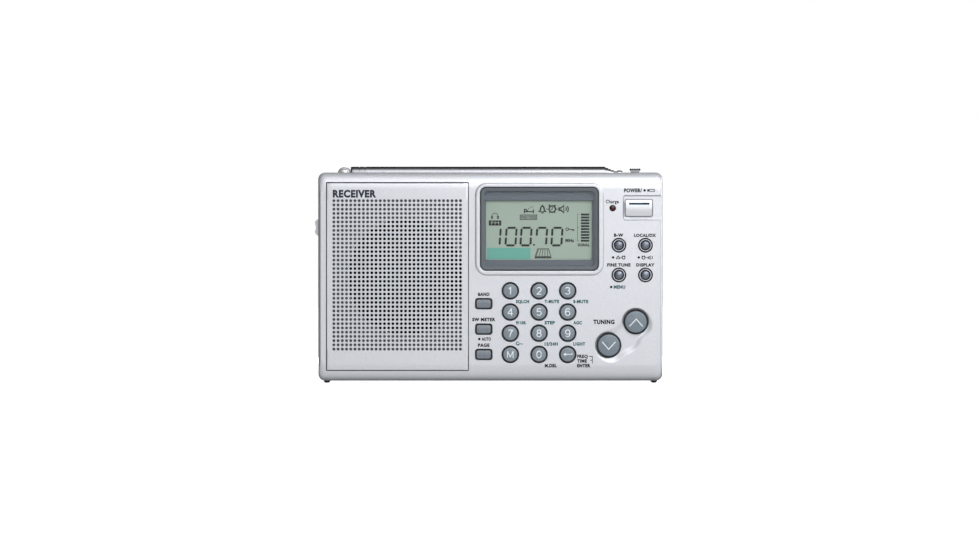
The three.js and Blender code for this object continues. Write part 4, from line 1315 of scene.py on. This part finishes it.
# Each label's text, capital height, x, z and width. The first group starts at x, and the second
# has its middle there.
LEFT_LABELS = (
    ("POWER/", 1.6, 62.4, 89.9, 8.4), ("FREQ", 1.4, 40.5, 12.4, 5.0), ("TIME", 1.4, 40.5, 10.25, 4.6),
    ("ENTER", 1.4, 40.5, 8.1, 6.2),
)
MIDDLE_LABELS = (
    ("B-W", 1.33, 59.9, 69.0, 4.4), ("LOCAL/DX", 1.33, 72.2, 68.9, 10.3),
    ("FINE TUNE", 1.33, 60.0, 55.1, 10.9), ("DISPLAY", 1.33, 72.4, 55.1, 8.6),
    ("BAND", 1.4, -3.1, 41.4, 5.4), ("SW METER", 1.4, -3.1, 29.6, 10.8), ("AUTO", 1.4, -1.9, 20.5, 4.3),
    ("PAGE", 1.4, -3.1, 17.6, 5.4), ("M.DEL", 1.4, 28.2, 8.1, 5.6), ("TUNING", 1.8, 53.0, 28.5, 9.9),
)
DOTS = ((72.0, 89.9), (57.3, 58.6), (69.3, 58.6), (56.4, 44.8), (-5.2, 20.5))
# The second function of a key, to its lower right, and how wide it is.
SECOND_LABELS = {
    "key_1": ("SQLCH", 6.2), "key_2": ("T-MUTE", 6.8), "key_3": ("S-MUTE", 7.0),
    "key_4": ("9/10K", 4.9), "key_5": ("STEP", 4.8), "key_6": ("AGC", 4.0),
    "key_8": ("12/24H", 6.2), "key_9": ("LIGHT", 5.6),
}


def dark_legends():
    shapes = [letters(*label, 0.0, BOLD) for label in LEFT_LABELS]
    shapes += [letters(*label, 0.5, BOLD) for label in MIDDLE_LABELS]
    shapes += [dot(x, z) for x, z in DOTS]
    shapes += [
        letters("Charge", 1.55, 56.9, 84.7, 6.1, 0.5, 0.6 * BOLD),
        patch(polygon([(73.3, 89.2), (74.1, 89.55), (74.1, 90.25), (73.3, 90.6)])),
        stroke([(74.2, 90.4), (76.6, 90.4), (76.6, 89.4), (74.2, 89.4)], 0.3, closed=True),
        bell_mark(59.7, 58.5), stroke([(60.6, 58.5), (61.3, 58.5)], 0.28), clock_mark(62.2, 58.5),
        clock_mark(71.5, 58.5), stroke([(72.4, 58.5), (73.3, 58.5)], 0.28), horn_mark(74.3, 58.5),
        stroke([(46.0, 12.4), (47.6, 12.4), (47.6, 9.0)], 0.32),
        stroke([(46.6, 10.6), (47.6, 10.6)], 0.32),
        letters("RECEIVER", 3.1, -73.6, 88.35, 20.3, 0.0, BOLD).painted(1),
    ]
    return total(shapes)


def teal_legends():
    shapes = [letters("MENU", 1.4, 60.3, 44.8, 5.4, 0.5, BOLD)]
    for name, (word, width) in SECOND_LABELS.items():
        x, _, z = centre(name)
        shapes.append(letters(word, 1.35, x + 2.6, z - 5.0, width, 0.0, BOLD))
    x, _, z = centre("key_7")
    shapes.append(stroke(arc(x + 3.5, z - 4.8, 0.75, 0.6, TURN - 0.6, 12), 0.36))
    shapes.append(stroke([(x + 3.4, z - 5.4), (x + 4.4, z - 4.9), (x + 5.9, z - 5.1)], 0.36))
    return total(shapes)


piece("face_legends_dark", dark_legends(), [INK_DARK, INK_SLATE], "case")
piece("face_legends_teal", teal_legends(), [INK_TEAL], "case")


# ---------------------------------------------------------------- volume wheel and lock


def volume_wheel():
    x, y, z = centre("volume_wheel")
    lobes, half = 10, 1.8

    def rim(radius_in, notch):
        turns = np.linspace(0, TURN, 240, endpoint=False)
        r = 7.8 - 0.4 * np.cos(lobes * turns) - radius_in
        r -= notch * (np.cos(60 * turns) > 0.55)
        return np.stack([r * np.cos(turns), r * np.sin(turns)], 1)

    edge = ((half, 0.35, 0), (half - 0.12, 0.1, 0), (half - 0.35, 0, 0.12))
    stations = [(-across, drawn, notch) for across, drawn, notch in edge] + list(reversed(edge))
    rings = [standing(rim(drawn, notch), across) for across, drawn, notch in stations]
    wheel = combine(loft(rings), [
        rod(1.75, -half - 1, half + 1, "Y", 32),
        lathe([(3.4, -half - 1), (6.4, -half - 1), (6.2, -half + 0.6), (3.6, -half + 0.6)],
              "Y", 64, True),
    ])
    piece("volume_wheel_knurled", wheel.moved(x, y, z), [WHEEL_PLASTIC], "volume_wheel",
          ["volume_wheel"])


def lock_switch():
    """A slider's flared neck, with a darker ribbed top."""
    x, y, _ = centre("lock_switch")
    top, d, band = 100.2, 4.0, 0.8
    flare = [(-1.9, TOP + 0.25), (1.9, TOP + 0.25), (2.45, top - band), (-2.45, top - band)]
    neck = slab(polygon(flare), -d / 2, d / 2, 0.15, 0.15)
    cap = slab(rect(-2.5, top - band, 2.5, top, 0.25, 5), -d / 2 - 0.05, d / 2 + 0.05, 0.2, 0.2)
    grooves = [block(a - 0.16, a + 0.16, -d, d, top - 0.35, top + 0.5)
               for a in np.linspace(-1.5, 1.5, 5)]
    cap = combine(cap, grooves).painted(1)
    stem = block(-1.9, 1.9, -1.3, 1.3, TOP - 3.4, TOP + 0.4, 0.1)
    base = block(-2.8, 2.8, -2, 2, TOP - 3.4, TOP - WALL - 0.4, 0.15)
    piece("lock_switch_slider", (neck + cap + stem + base).moved(x, y, 0), [DARK_PLASTIC, BLACK_AND_PAINTED_SHADE],
          "lock_switch", ["lock_switch"])


volume_wheel()
lock_switch()


# ---------------------------------------------------------------- antenna, from its elbow's pin

PIVOT = (-68.85, 8.0, 98.2)
LEDGE_TOP = 92.9
LEDGE_Z = LEDGE_TOP - PIVOT[2]
TUBE_RADIUS = 3.1
FERRULE_START, FERRULE_END = 3.3, 10.4
EAR_RADIUS = 2.75


def antenna_swivel():
    base_top = LEDGE_Z + 0.3
    base = lathe(rounded([(0, base_top), (4.4, base_top), (4.4, base_top - 1.5), (2.2, base_top - 1.5),
                          (2.2, base_top - 6.3), (0, base_top - 6.3)], 0.25), "Z", 64)
    nut = sweep(polygon(arc(0, 0, 3.6, 0, TURN, 6)[:-1]), [(-1, 0), (1, 0)])
    nut = nut.turned(QUARTER, "X").moved(0, 0, LEDGE_Z - 5.4)
    arch = [(-EAR_RADIUS, base_top - 0.3), (EAR_RADIUS, base_top - 0.3)]
    arch = polygon(arch + arc(0, 0, EAR_RADIUS, 0, math.pi, 32))
    ears = slab(arch, -3.1, -1.7, 0.6, 0.1, 6) + slab(arch, 1.7, 3.1, 0.1, 0.6, 6)
    return combine(base, [ears], "UNION") + nut


def pivot_screw():
    """A domed head with a slanted driver slot, a pin, and a plain foot on the other side."""
    profile = [(0, -4.3)] + [(1.9 * math.sin(a), -3.75 - 0.55 * math.cos(a))
                             for a in np.linspace(0.2, QUARTER, 8)]
    profile += rounded([(1.9, -3.12), (1.05, -3.12), (1.05, 3.12), (1.8, 3.12), (1.8, 3.6), (1.4, 3.9),
                        (0, 3.9)], 0.1, 2)
    head = lathe(profile, "Y", 48)
    return combine(head, [block(-3, 3, -5, -3.75, -0.22, 0.22).turned(math.radians(45), "Y")])


def antenna_base():
    """The widest tube: a black ring at its root, a ferrule with fine rings and two grooves,
    and the flat tongue that the elbow's pin goes through."""
    r, bore, start, end = TUBE_RADIUS, 2.8, 11.0, 122.9
    profile = [(0, FERRULE_START), (r - 0.15, FERRULE_START), (r - 0.1, FERRULE_START + 0.1),
               (r - 0.1, FERRULE_START + 0.55)]
    rings = [(a, 0.1, 0.12) for a in (4.5, 5.3, 6.1, 8.3, 9.1)]
    rings += [(7.3, 0.28, 0.24), (10.0, 0.28, 0.24)]
    for ring, depth, half in sorted(rings):
        floor = r - depth
        profile += [(r, ring - half), (floor, ring - half / 2), (floor, ring + half / 2),
                    (r, ring + half)]
    profile += [(r, end - 0.45), (r - 0.12, end - 0.12), (r - 0.25, end), (bore, end), (bore, start),
                (0, start)]
    barrel = lathe(profile, "X", 64)
    tongue_at = rect(-2.6, -2.6, FERRULE_START + 0.5, 2.6, 2.59, 12)
    tongue = combine(slab(tongue_at, -1.4, 1.4, 0.2, 0.2), [rod(1.3, -3, 3, "Y", 32)])

    def on_ring(middle, _):
        return FERRULE_START - 0.01 < middle[0] < FERRULE_START + 0.6 and math.hypot(*middle[1:]) > 1.6

    return repaint(combine(barrel, [tongue], "UNION"), 1, on_ring)


def antenna_tube(r, bore, start, end):
    """A thin tube with a rolled end."""
    return lathe([(bore, start), (r, start), (r, end - 0.45), (r - 0.06, end - 0.2),
                  (r - 0.16, end), (bore, end)], "X", 56, True)


def antenna_tip():
    r, start, to, end, knob = 0.94, 24.0, 128.4, 131.2, 1.35
    profile = [(0, start), (r, start), (r, to), (knob - 0.2, to + 0.02), (knob, to + 0.25),
               (knob, end - 1.1)]
    profile += [(knob * math.cos(a), end - 1.1 + 1.1 * math.sin(a))
                for a in np.linspace(0.2, QUARTER, 8)]
    profile[-1] = (0, end)
    return lathe(profile, "X", 48)


SECTIONS = {
    "antenna_section_2": (2.54, 2.26, 18.0, 124.2),
    "antenna_section_3": (2.0, 1.72, 20.0, 125.4),
    "antenna_section_4": (1.46, 1.2, 22.0, 126.9),
}
for made, piece_name, finishes, body, stands_for, slot_name in (
    (antenna_swivel(), "antenna_swivel_fork", [CHROME], "antenna_base", "antenna_swivel", "chrome"),
    (pivot_screw(), "antenna_pivot_slotted_screw", [STEEL], "antenna_base", "antenna_pivot_screw",
     "steel"),
    (antenna_base(), "antenna_base_tube", [CHROME, BLACK_AND_PAINTED_SHADE], "antenna_tube_1", "antenna_section_1",
     "chrome"),
    *((antenna_tube(*sizes), section + "_tube", [CHROME], section.replace("section", "tube"), section,
       "chrome") for section, sizes in SECTIONS.items()),
    (antenna_tip(), "antenna_tip_rod", [CHROME], "antenna_tube_5", "antenna_section_5", "chrome"),
):
    piece(piece_name, made.moved(*PIVOT), finishes, body, [stands_for])


# ---------------------------------------------------------------- the back half

SCREWS = [f"case_screw_{i}" for i in (1, 2, 3, 4)]
LEDGE_Y, LEDGE_END, CHANNEL = 3.2, 64.2, 3.4
BAY = (8.0, 8.5, 67.6, 66.5)
DOOR = (6.9, 6.0, 68.7, 68.0)
DOOR_HINGE = (15.1, 6.0)
STAND = (-64.0, 8.6, -16.0, 52.6)
STAND_HINGE = (15.1, 52.6)
POCKET = (-64.4, 6.2, -15.6, 54.2)
JACKS = {"earphone_jack": (48.0, 3.3), "dc_jack": (33.0, 4.3)}
JACK_Y = 5.0


def rod_x(y, z, r, x0, x1, segments=32):
    return rod(r, x0, x1, "X", segments).moved(0, y, z)


def rear_cabinet():
    start = PARTING + GAP
    outline = rect(-RIGHT, BASE, RIGHT, TOP, CORNER, 10)
    outer = slab(outline, start, BACK, 0.2, 3.0, 9)
    inner = BACK - WALL
    shelf = LEDGE_Y - WALL
    left, low, right, high = HOLLOW
    step = LEDGE_TOP - WALL
    hollow = bar([(start - 1, low), (inner, low), (inner, step), (shelf, step), (shelf, high),
                  (start - 1, high)], left, right)
    ledge = bar(rounded([(BACK + 2, TOP + 2), (LEDGE_Y - 0.4, TOP + 2), (LEDGE_Y - 0.4, TOP),
                         (LEDGE_Y, TOP - 0.5), (LEDGE_Y, LEDGE_TOP), (BACK + 2, LEDGE_TOP)], 0.7, 4),
                -RIGHT - 2, LEDGE_END)
    channel = bar([(PIVOT[1] - CHANNEL, TOP + 2)]
                  + arc(*PIVOT[1:], CHANNEL, math.pi, TURN, 20)
                  + [(PIVOT[1] + CHANNEL, TOP + 2)], LEDGE_END - 1, RIGHT + 2)
    bx0, bz0, bx1, bz1 = BAY
    walls = block(bx0 - 2, bx1 + 2, -1.6, inner + 0.5, bz0 - 2, bz1 + 2)
    backing = block(DOOR[0] - 2.4, DOOR[2] + 2.4, 12.4, inner + 0.5, 2.2, DOOR[1] + 2.4)
    px0, pz0, px1, pz1 = POCKET
    pocket_walls = block(px0 - 2.4, px1 + 2.4, 12.1, inner + 0.5, pz0 - 2, pz1 + 2)
    shell = combine(outer, [hollow, ledge])
    shell = combine(shell, [walls, backing, pocket_walls], "UNION")
    bay = slab(rect(bx0, bz0, bx1, bz1, 0.8, 4), -0.6, BACK + 1)
    seat = rear_opening(rect(DOOR[0] - GAP, DOOR[1], DOOR[2] + GAP, DOOR[3] + GAP, 0.9, 5), 14.4, BACK)
    nose = rod_x(*DOOR_HINGE, 1.7, DOOR[0] - GAP, DOOR[2] + GAP)
    mouth = block(DOOR[0] - GAP, DOOR[2] + GAP, DOOR_HINGE[0], BACK + 1, DOOR[1] - 1.7, DOOR[1] + 0.6)
    door_pins = rod_x(*DOOR_HINGE, 0.8, DOOR[0] - 1.6, DOOR[2] + 1.6, 16)
    pocket = rear_opening(rect(*POCKET, 1.0, 6), 13.6, BACK, 0.25)
    finger = rear_opening(rect(-47, 4.2, -33, 8.4, 2.0, 6), 13.9, BACK, 0.3)
    stand_pins = rod_x(*STAND_HINGE, 0.95, STAND[0] - 1.8, STAND[2] + 1.8, 16)
    holes = []
    for name in SCREWS:
        x, _, z = centre(name)
        bore = [(0, start - 1), (1.7, start - 1), (1.7, 13.6), (3.1, 13.6), (3.1, BACK - 0.2),
                (4.3, BACK + 1), (0, BACK + 1)]
        holes.append(lathe(bore, "Y", 32).moved(x, 0, z))
    seat_round = lathe([(0, 91.4), (4.7, 91.4), (4.7, 92.75), (5.6, 93.65), (0, 93.65)], "Z", 64)
    swivel_hole = rod(2.5, 86, 93, "Z", 24)
    sockets = []
    for z, r in JACKS.values():
        mouth_profile = [(0, -RIGHT - 1), (r + 1.2, -RIGHT - 1), (r, -RIGHT + 0.2), (r, -77), (0, -77)]
        sockets.append(lathe(mouth_profile, "X", 48).moved(0, JACK_Y, z))
    # Shallow lines frame the flat of the back, and short ribs grip the lower corners.
    grooves = [slab(rect(-6.4, 8, -5.6, 66, 0.3, 2), BACK - 0.35, BACK + 1)]
    grooves += [rear_opening(rect(-76.4, z, -69, z + 0.9, 0.4, 4), BACK - 0.5, BACK, 0.1)
                for z in np.arange(24, 46, 2.4)]
    shell = combine(shell, [channel, bay, seat, nose, mouth, door_pins, pocket, finger, stand_pins])
    shell = combine(shell, [*holes, seat_round.moved(*PIVOT[:2]), swivel_hole.moved(*PIVOT[:2])])
    shell = combine(shell, sockets + grooves)
    return repaint(shell, 1, inside_back)


def inside_back(middle, _):
    """Whether a face of the back half is in the battery bay or the hidden inside."""
    x, y, z = middle
    bx0, bz0, bx1, bz1 = BAY
    in_bay = bx0 - 0.1 < x < bx1 + 0.1 and bz0 - 0.1 < z < bz1 + 0.1 and y < 14.3
    _, low, right, _ = HOLLOW
    within = abs(x) < right - HOLLOW_EDGE and low + HOLLOW_EDGE < z < LEDGE_TOP - WALL - HOLLOW_EDGE
    hidden = within and PARTING + 0.5 < y < 12
    return in_bay or hidden


piece("rear_cabinet_shell", rear_cabinet(), [SILVER, BLACK_AND_PAINTED_SHADE], "case", ["rear_cabinet"])


def kickstand():
    x0, z0, x1, z1 = STAND
    hinge_y, hinge_z = STAND_HINGE
    plate = slab(rect(x0, z0, x1, z1 + 0.3, 0.9, 5), 14, 16.3, 0.2, 0.35)
    relief = sweep(rect(x0 + 5, z0 + 4, x1 - 5, z1 - 5, 1.2, 6), [(13, -0.4), (14, -0.2), (14.8, 0.2)])
    window = sweep(rect(x0 + 14, z0 + 9, x1 - 14, z1 - 12, 2.0, 8), [(13, 0), (15.9, 0), (17, -1.1)])
    plate = combine(plate, [block(x0 - 1, x1 + 1, 13, 18, hinge_z, hinge_z + 3)])
    nose = rod_x(hinge_y, hinge_z, 1.2, x0, x1, 40)
    pins = rod_x(hinge_y, hinge_z, 0.7, x0 - 1.3, x1 + 1.3, 20)
    stand = combine(plate, [nose, pins], "UNION")
    lines = [rear_opening(rect(x0 + 5, z, x1 - 5, z + 0.5, 0.2, 2), 16.05, 16.3, 0.08)
             for z in (z0 + 2.2, z0 + 3.4, z0 + 4.6)]
    stand = combine(stand, [relief, window, *lines])
    piece("kickstand_plate", stand, [SILVER], "kickstand", ["kickstand"])


def battery_door():
    x0, z0, x1, z1 = DOOR
    hinge_y, hinge_z = DOOR_HINGE
    plate = slab(rect(x0, z0 - 0.6, x1, z1, 0.7, 5), 14.7, BACK, 0.1, 0.25)
    plate = combine(plate, [block(x0 - 1, x1 + 1, 13, 18, z0 - 2, z0)])
    edge = rod_x(hinge_y, hinge_z, 1.4, x0, x1, 40)
    pins = rod_x(hinge_y, hinge_z, 0.55, x0 - 1.2, x1 + 1.2, 16)
    door = combine(plate, [edge, pins], "UNION")
    middle = (x0 + x1) / 2
    grip = rear_opening(rect(middle - 9, z1 - 6.5, middle + 9, z1 - 2.5, 1.6, 8), BACK - 0.7, BACK, 0.2)
    points = [(middle, z1 - 12.4), (middle + 2.2, z1 - 9.2), (middle - 2.2, z1 - 9.2)]
    arrow = rear_opening(polygon(points), BACK - 0.3, BACK, 0.08)
    door = combine(door, [grip, arrow])
    ribs = total(block(x, x + 0.8, BACK - 0.75, BACK - 0.3, z1 - 6.2, z1 - 2.8, 0.12)
                 for x in middle - 8 + 2 * np.arange(9))
    piece("battery_door_panel", door + ribs, [SILVER], "battery_door", ["battery_door"])


def case_screws():
    profile = [(0, -9), (1.3, -8), (1.3, 13.9), (2.8, 13.9), (2.8, 15.5), (2.3, 15.95), (0, 16)]
    head = lathe(rounded(profile, 0.2, 3), "Y", 40)
    cross = [block(-w, w, 15.0, 17, -h, h) for w, h in ((1.6, 0.34), (0.34, 1.6))]
    head = combine(head, cross)
    for name in SCREWS:
        x, _, z = centre(name)
        piece(name + "_cross_head", head.moved(x, 0, z), [STEEL], "case", [name])


def feet():
    """A rubber strip along each lower edge, narrower where it meets the table, with worn ends."""
    for name in ("foot_left", "foot_right"):
        x = centre(name)[0]
        rings = []
        for y, pull in ((-11.5, 0.35), (-11.35, 0.1), (-11.0, 0), (12.0, 0), (12.35, 0.1),
                        (12.5, 0.35)):
            section = [(-1.5 + pull, BASE), (-1.35 + pull, 0.6), (-0.85 + pull, 0.12), (-0.7 + pull, 0),
                       (0.7 - pull, 0), (0.85 - pull, 0.12), (1.35 - pull, 0.6), (1.5 - pull, BASE)]
            rings.append(np.array([(x + a, y, z) for a, z in section]))
        piece(name + "_strip", loft(rings), [RUBBER], "case", [name])


def jacks():
    """Two sockets in the left side: a collar, a body behind it, a metal liner and a pin."""
    inside = -RIGHT + WALL + 0.2
    mouth = -RIGHT + 0.1
    for name, flange, bore, depth, half, pin in (
        ("earphone_jack", 3.0, 1.8, 13, 3.6, None), ("dc_jack", 4.0, 2.9, 10, 4.6, 0.9),
    ):
        z = JACKS[name][0]
        end = mouth + depth
        ring = [(bore, end), (bore, mouth + 0.35), (bore + 0.25, mouth), (flange - 0.3, mouth),
                (flange, mouth + 0.3), (flange, inside + 0.5), (bore + 0.4, inside + 0.5),
                (bore + 0.4, end)]
        sleeve = [(bore - 0.25, mouth + 1.2), (bore - 0.02, mouth + 1.2), (bore - 0.02, end),
                  (bore - 0.25, end)]
        body = combine(
            block(inside, end + 2, JACK_Y - half, JACK_Y + half, z - half, z + half, 0.3),
            [rod_x(JACK_Y, z, bore + 0.2, inside - 2, end + 0.3, 40)],
        )
        metal_parts = lathe(sleeve, "X", 48, True)
        if pin:
            nose = [(0, mouth + 1), (pin, mouth + 1), (pin, end + 1), (0, end + 1)]
            metal_parts += lathe(rounded(nose, 0.4), "X", 32)
        shape = body + (lathe(ring, "X", 56, True) + metal_parts.painted(1)).moved(0, JACK_Y, z)
        piece(name + "_socket", shape, [BLACK_AND_PAINTED_SHADE, STEEL], "case", [name])


kickstand()
battery_door()
case_screws()
feet()
jacks()


# ---------------------------------------------------------------- inside the case


def cells():
    """Four cells side by side, each the other way up from the one before."""
    r, length, nub = 7.1, 50.4, 1.2
    shoulder = length - nub
    body = [(0, 0.15), (5.4, 0.15), (5.5, 0.0), (r - 0.4, 0.0), (r, 0.4), (r, shoulder - 0.5),
            (r - 0.5, shoulder), (5.2, shoulder), (5.0, shoulder - 0.3), (3.2, shoulder - 0.3),
            (3.0, shoulder), (2.7, shoulder), (2.6, length - 0.3), (2.3, length), (0, length)]
    stripe = [(r + 0.01, shoulder - 6.2), (r + 0.04, shoulder - 6.1), (r + 0.04, shoulder - 5.0),
              (r + 0.01, shoulder - 4.9)]

    def is_end(middle, _):
        return math.hypot(*middle[:2]) < r - 0.6 or middle[2] < 0.3

    cell = repaint(lathe(rounded(body, 0.2, 2), "Z", 64), 1, is_end)
    cell += lathe(stripe, "Z", 64, True).painted(2)
    for i in (1, 2, 3, 4):
        name = f"battery_cell_{i}"
        x, y, z = centre(name)
        one = cell if i % 2 else cell.turned(math.pi, "X").moved(0, 0, length)
        piece(name + "_wrapped", one.moved(x, y, z - length / 2), [CELL_WRAP, STEEL, CELL_BAND], "case",
              [name])


def contacts(name, plate_z, tip_z, springs):
    """A plate behind the cells' ends, with a coil spring or a pressed button for each cell."""
    up = tip_z > plate_z
    plate = block(BAY[0] + 0.5, BAY[2] - 0.5, 2, 12, plate_z, plate_z + 0.5, 0.12)
    shapes = [plate]
    for i in (1, 2, 3, 4):
        x, y, _ = centre(f"battery_cell_{i}")
        foot = plate_z + 0.5 if up else plate_z
        if i % 2 == springs:
            turns = np.linspace(0, 3.2 * TURN, 70)
            share = turns / turns[-1]
            radius = 3.6 - 1.5 * share
            rise = foot + (tip_z - foot) * (0.08 + 0.8 * share)
            wire = [(x + a * math.cos(t), y + a * math.sin(t), h)
                    for t, a, h in zip(turns, radius, rise)]
            shapes.append(tube(wire, 0.26))
        else:
            tip = foot + (tip_z - foot) * 0.9
            button = [(0, foot), (3.2, foot), (2.6, foot + (tip - foot) * 0.7), (2.0, tip), (0, tip)]
            shapes.append(lathe(button, "Z", 40).moved(x, y, 0))
    piece(name + "_strip", total(shapes), [STEEL], "case", [name])


def speaker():
    """A pressed basket with windows between its arms, a magnet, and a ribbed paper cone."""
    x, z = SPEAKER
    rim = [(28.4, -12.7), (28.4, -11.6), (25.4, -11.4), (15.2, -3.6), (14, -3.6), (13.6, -4.8),
           (24.6, -11.8), (24.6, -12.7)]
    windows = [block(-2.6, 2.6, -11, -4.2, 15.5, 23.0, 0.3).turned(a, "Y")
               for a in np.linspace(0, TURN, 8, endpoint=False)]
    basket = combine(lathe(rounded(rim, 0.4, 2), "Y", 96, True), windows)
    back = [(0, -4.6), (14, -4.6), (14, -1.6), (13, -1.4), (13, 2.2), (12.6, 2.4), (0, 2.4)]
    magnet = lathe(rounded(back, 0.4, 3), "Y", 72)
    piece("speaker_basket", (basket + magnet).moved(x, 0, z), [STEEL], "case", ["speaker_frame"])
    paper = [(0, -8.6), (1.8, -8.45), (3.4, -8)]
    paper += [(r, -6.2 - (r - 6) * 0.36) for r in np.linspace(6, 19, 9)]
    paper += [(19.6, -11.3), (20.4, -12.1), (21.4, -12.5), (22.4, -12.2), (23.0, -12.2),
              (24.2, -12.6), (24.2, -12.2), (22.8, -11.8), (21.4, -12.0), (20.6, -11.6),
              (19.8, -10.7), (6.2, -5.6), (0, -5.6)]
    # A black felt disc behind the grille, as on a real set, put here as painted shade so that the open
    # holes read dark.
    cloth = lathe(rounded([(0, -13.15), (27.3, -13.15), (27.3, -12.85), (0, -12.85)], 0.1, 2), "Y", 96)
    piece("speaker_dust_and_shade_cloth", cloth.moved(x, 0, z), [CONE_PAPER], "case", ())
    piece("speaker_paper_cone", lathe(paper, "Y", 96).moved(x, 0, z), [CONE_PAPER], "case",
          ["speaker_cone"])


def ferrite_aerial():
    rod = lathe(rounded([(0, -50), (4, -50), (4, 50), (0, 50)], 0.4), "X", 48)
    coils = Shape()
    for x0, x1 in ((-40, -26), (-8, 14), (26, 38)):
        profile = [(4.05, x0)]
        turns = int((x1 - x0) / 0.7)
        for k in range(turns):
            a = x0 + k * 0.7
            profile += [(4.4, a + 0.02), (4.75, a + 0.35), (4.4, a + 0.68)]
        profile += [(4.05, x0 + turns * 0.7)]
        coils += lathe(profile, "X", 40, True).painted(1)
    piece("ferrite_rod_wound", (rod + coils).moved(0, 7, 83.5), [FERRITE, COPPER], "case",
          ["ferrite_rod"])


cells()
contacts("battery_contacts_bottom", 8.9, 11.7, 1)
contacts("battery_contacts_top", 65.6, 62.8, 0)
speaker()
ferrite_aerial()

for node_name, node_finish in (
    ("key_board", CIRCUIT_BOARD), ("main_board", CIRCUIT_BOARD), ("volume_pot", STEEL),
):
    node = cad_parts[node_name]
    node.data.materials.clear()
    node.data.materials.append(node_finish)


# ---------------------------------------------------------------- studio


def world_light():
    """A pale studio, brightest in front to the upper right, dark behind the object, and plain
    white where the camera sees it."""
    world = bpy.data.worlds.new("studio")
    bpy.context.scene.world = world
    world.use_nodes = True
    tree = world.node_tree
    tree.nodes.clear()

    def node(kind, **values):
        return new_node(tree, kind, **values)

    def facing(direction, *levels):
        """Light from one side: where a direction's cosine goes from and to, and its levels."""
        along = node("ShaderNodeVectorMath", operation="DOT_PRODUCT")
        along.inputs[1].default_value = Vector(direction).normalized()
        tree.links.new(place, along.inputs[0])
        return remap(tree, along.outputs["Value"], *levels, "SMOOTHSTEP")

    def math_node(operation, a, b):
        made = node("ShaderNodeMath", operation=operation)
        tree.links.new(a, made.inputs[0])
        tree.links.new(b, made.inputs[1])
        return made.outputs["Value"]

    place = node("ShaderNodeTexCoord").outputs["Generated"]
    cone = facing((0.27, -0.77, 0.55), 0.1, 0.9, 0.0, 0.64)
    cone = math_node("MULTIPLY", cone, facing((0, 0, 1), 0.75, 1.0, 1.0, 0.4))
    cone = math_node("ADD", cone, facing((0.2, -0.8, 0.57), 0.84, 0.98, 0.0, 1.45))
    ground = facing((0, 0, -1), 0.1, 0.45, 0.0, 0.61)
    ground = math_node("MULTIPLY", ground, facing((0, 0, -1), 0.85, 1.0, 1.0, 0.3))
    base = facing((-1, 0, 0), 0.0, 0.8, 0.14, 0.08)
    both = math_node("ADD", math_node("ADD", cone, ground), base)
    both = math_node("MULTIPLY", both, facing((0, -1, 0), -0.3, 0.35, 0.14, 1.0))
    lit = node("ShaderNodeBackground", Color=(0.975, 0.98, 0.99, 1.0))
    tree.links.new(both, lit.inputs["Strength"])
    seen = node("ShaderNodeBackground", Color=(1, 1, 1, 1))
    rays = node("ShaderNodeLightPath")
    mix = node("ShaderNodeMixShader")
    tree.links.new(rays.outputs["Is Camera Ray"], mix.inputs["Fac"])
    tree.links.new(lit.outputs["Background"], mix.inputs[1])
    tree.links.new(seen.outputs["Background"], mix.inputs[2])
    output = node("ShaderNodeOutputWorld")
    tree.links.new(mix.outputs["Shader"], output.inputs["Surface"])


def softbox(name, place, target, size, power, mirrored):
    light = bpy.data.lights.new(name, "AREA")
    light.shape = "RECTANGLE"
    light.size, light.size_y = size
    light.energy = power
    holder = placed(name, light)
    holder.location = place
    holder.rotation_euler = (Vector(target) - Vector(place)).to_track_quat("-Z", "Y").to_euler()
    holder.visible_camera = False
    holder.visible_glossy = mirrored


def studio_floor():
    floor = Finish("studio floor", (250, 250, 250), 0.6)
    floor.mottle(60.0, 0.01)
    floor.set("Emission Color", (1, 1, 1, 1))
    spread = floor.node("ShaderNodeVectorMath", operation="LENGTH")
    floor.link(floor.place, spread.inputs[0])
    glow = remap(floor.tree, spread.outputs["Value"], 0.1, 0.5, 0.6, 1.0)
    floor.link(glow, floor.shader.inputs["Emission Strength"])
    mesh = bpy.data.meshes.new("floor")
    reach = 9.0
    corners = [(-reach, -reach, 0), (reach, -reach, 0), (reach, reach, 0), (-reach, reach, 0)]
    mesh.from_pydata(corners, [], [(0, 1, 2, 3)])
    mesh.materials.append(floor.material)
    plane = placed("floor", mesh)
    plane.visible_diffuse = False
    plane.visible_glossy = False


def main_camera():
    """Straight on to the face, with a long lens."""
    lens = bpy.data.cameras.new("camera")
    lens.lens, lens.sensor_width = 300, 36
    view_width = 0.4567
    distance = view_width * lens.lens / lens.sensor_width
    lens.clip_start, lens.clip_end = 0.05, 60
    camera = placed("camera", lens)
    camera.location = (0.00015, (FACE + SHIFT[1]) * MM - distance, 0.0504)
    camera.rotation_euler = (QUARTER, 0, 0)
    bpy.context.scene.camera = camera


world_light()
for light in (
    # name, place, target, size, power, and whether shiny surfaces mirror it
    ("key", (0.1, -0.5, 0.17), (0.05, 0.0, 0.09), (0.2, 0.12), 0.2, True),
    ("near", (0.12, -0.26, 0.28), (0.06, 0, 0.09), (0.16, 0.1), 0.17, True),
    ("rim", (0.55, -0.55, 0.5), (0.02, 0, 0.06), (0.35, 0.35), 1.2, True),
    ("edge", (0.9, 0.6, 0.25), (0.05, 0, 0.05), (0.6, 0.5), 3.0, True),
    ("top", (0.1, 0.1, 1.1), (0, 0, 0.05), (0.9, 0.7), 3.2, False),
    ("back", (-0.4, 1.0, 0.2), (0, 0, 0.05), (0.9, 0.5), 13, False),
    ("left", (-1.0, -0.1, 0.4), (0, 0, 0.05), (0.7, 0.5), 1.5, False),
    ("right", (1.0, -0.1, 0.4), (0, 0, 0.05), (0.7, 0.5), 2.0, True),
):
    softbox(*light)
studio_floor()
main_camera()
bpy.context.scene.view_settings.view_transform = "Standard"
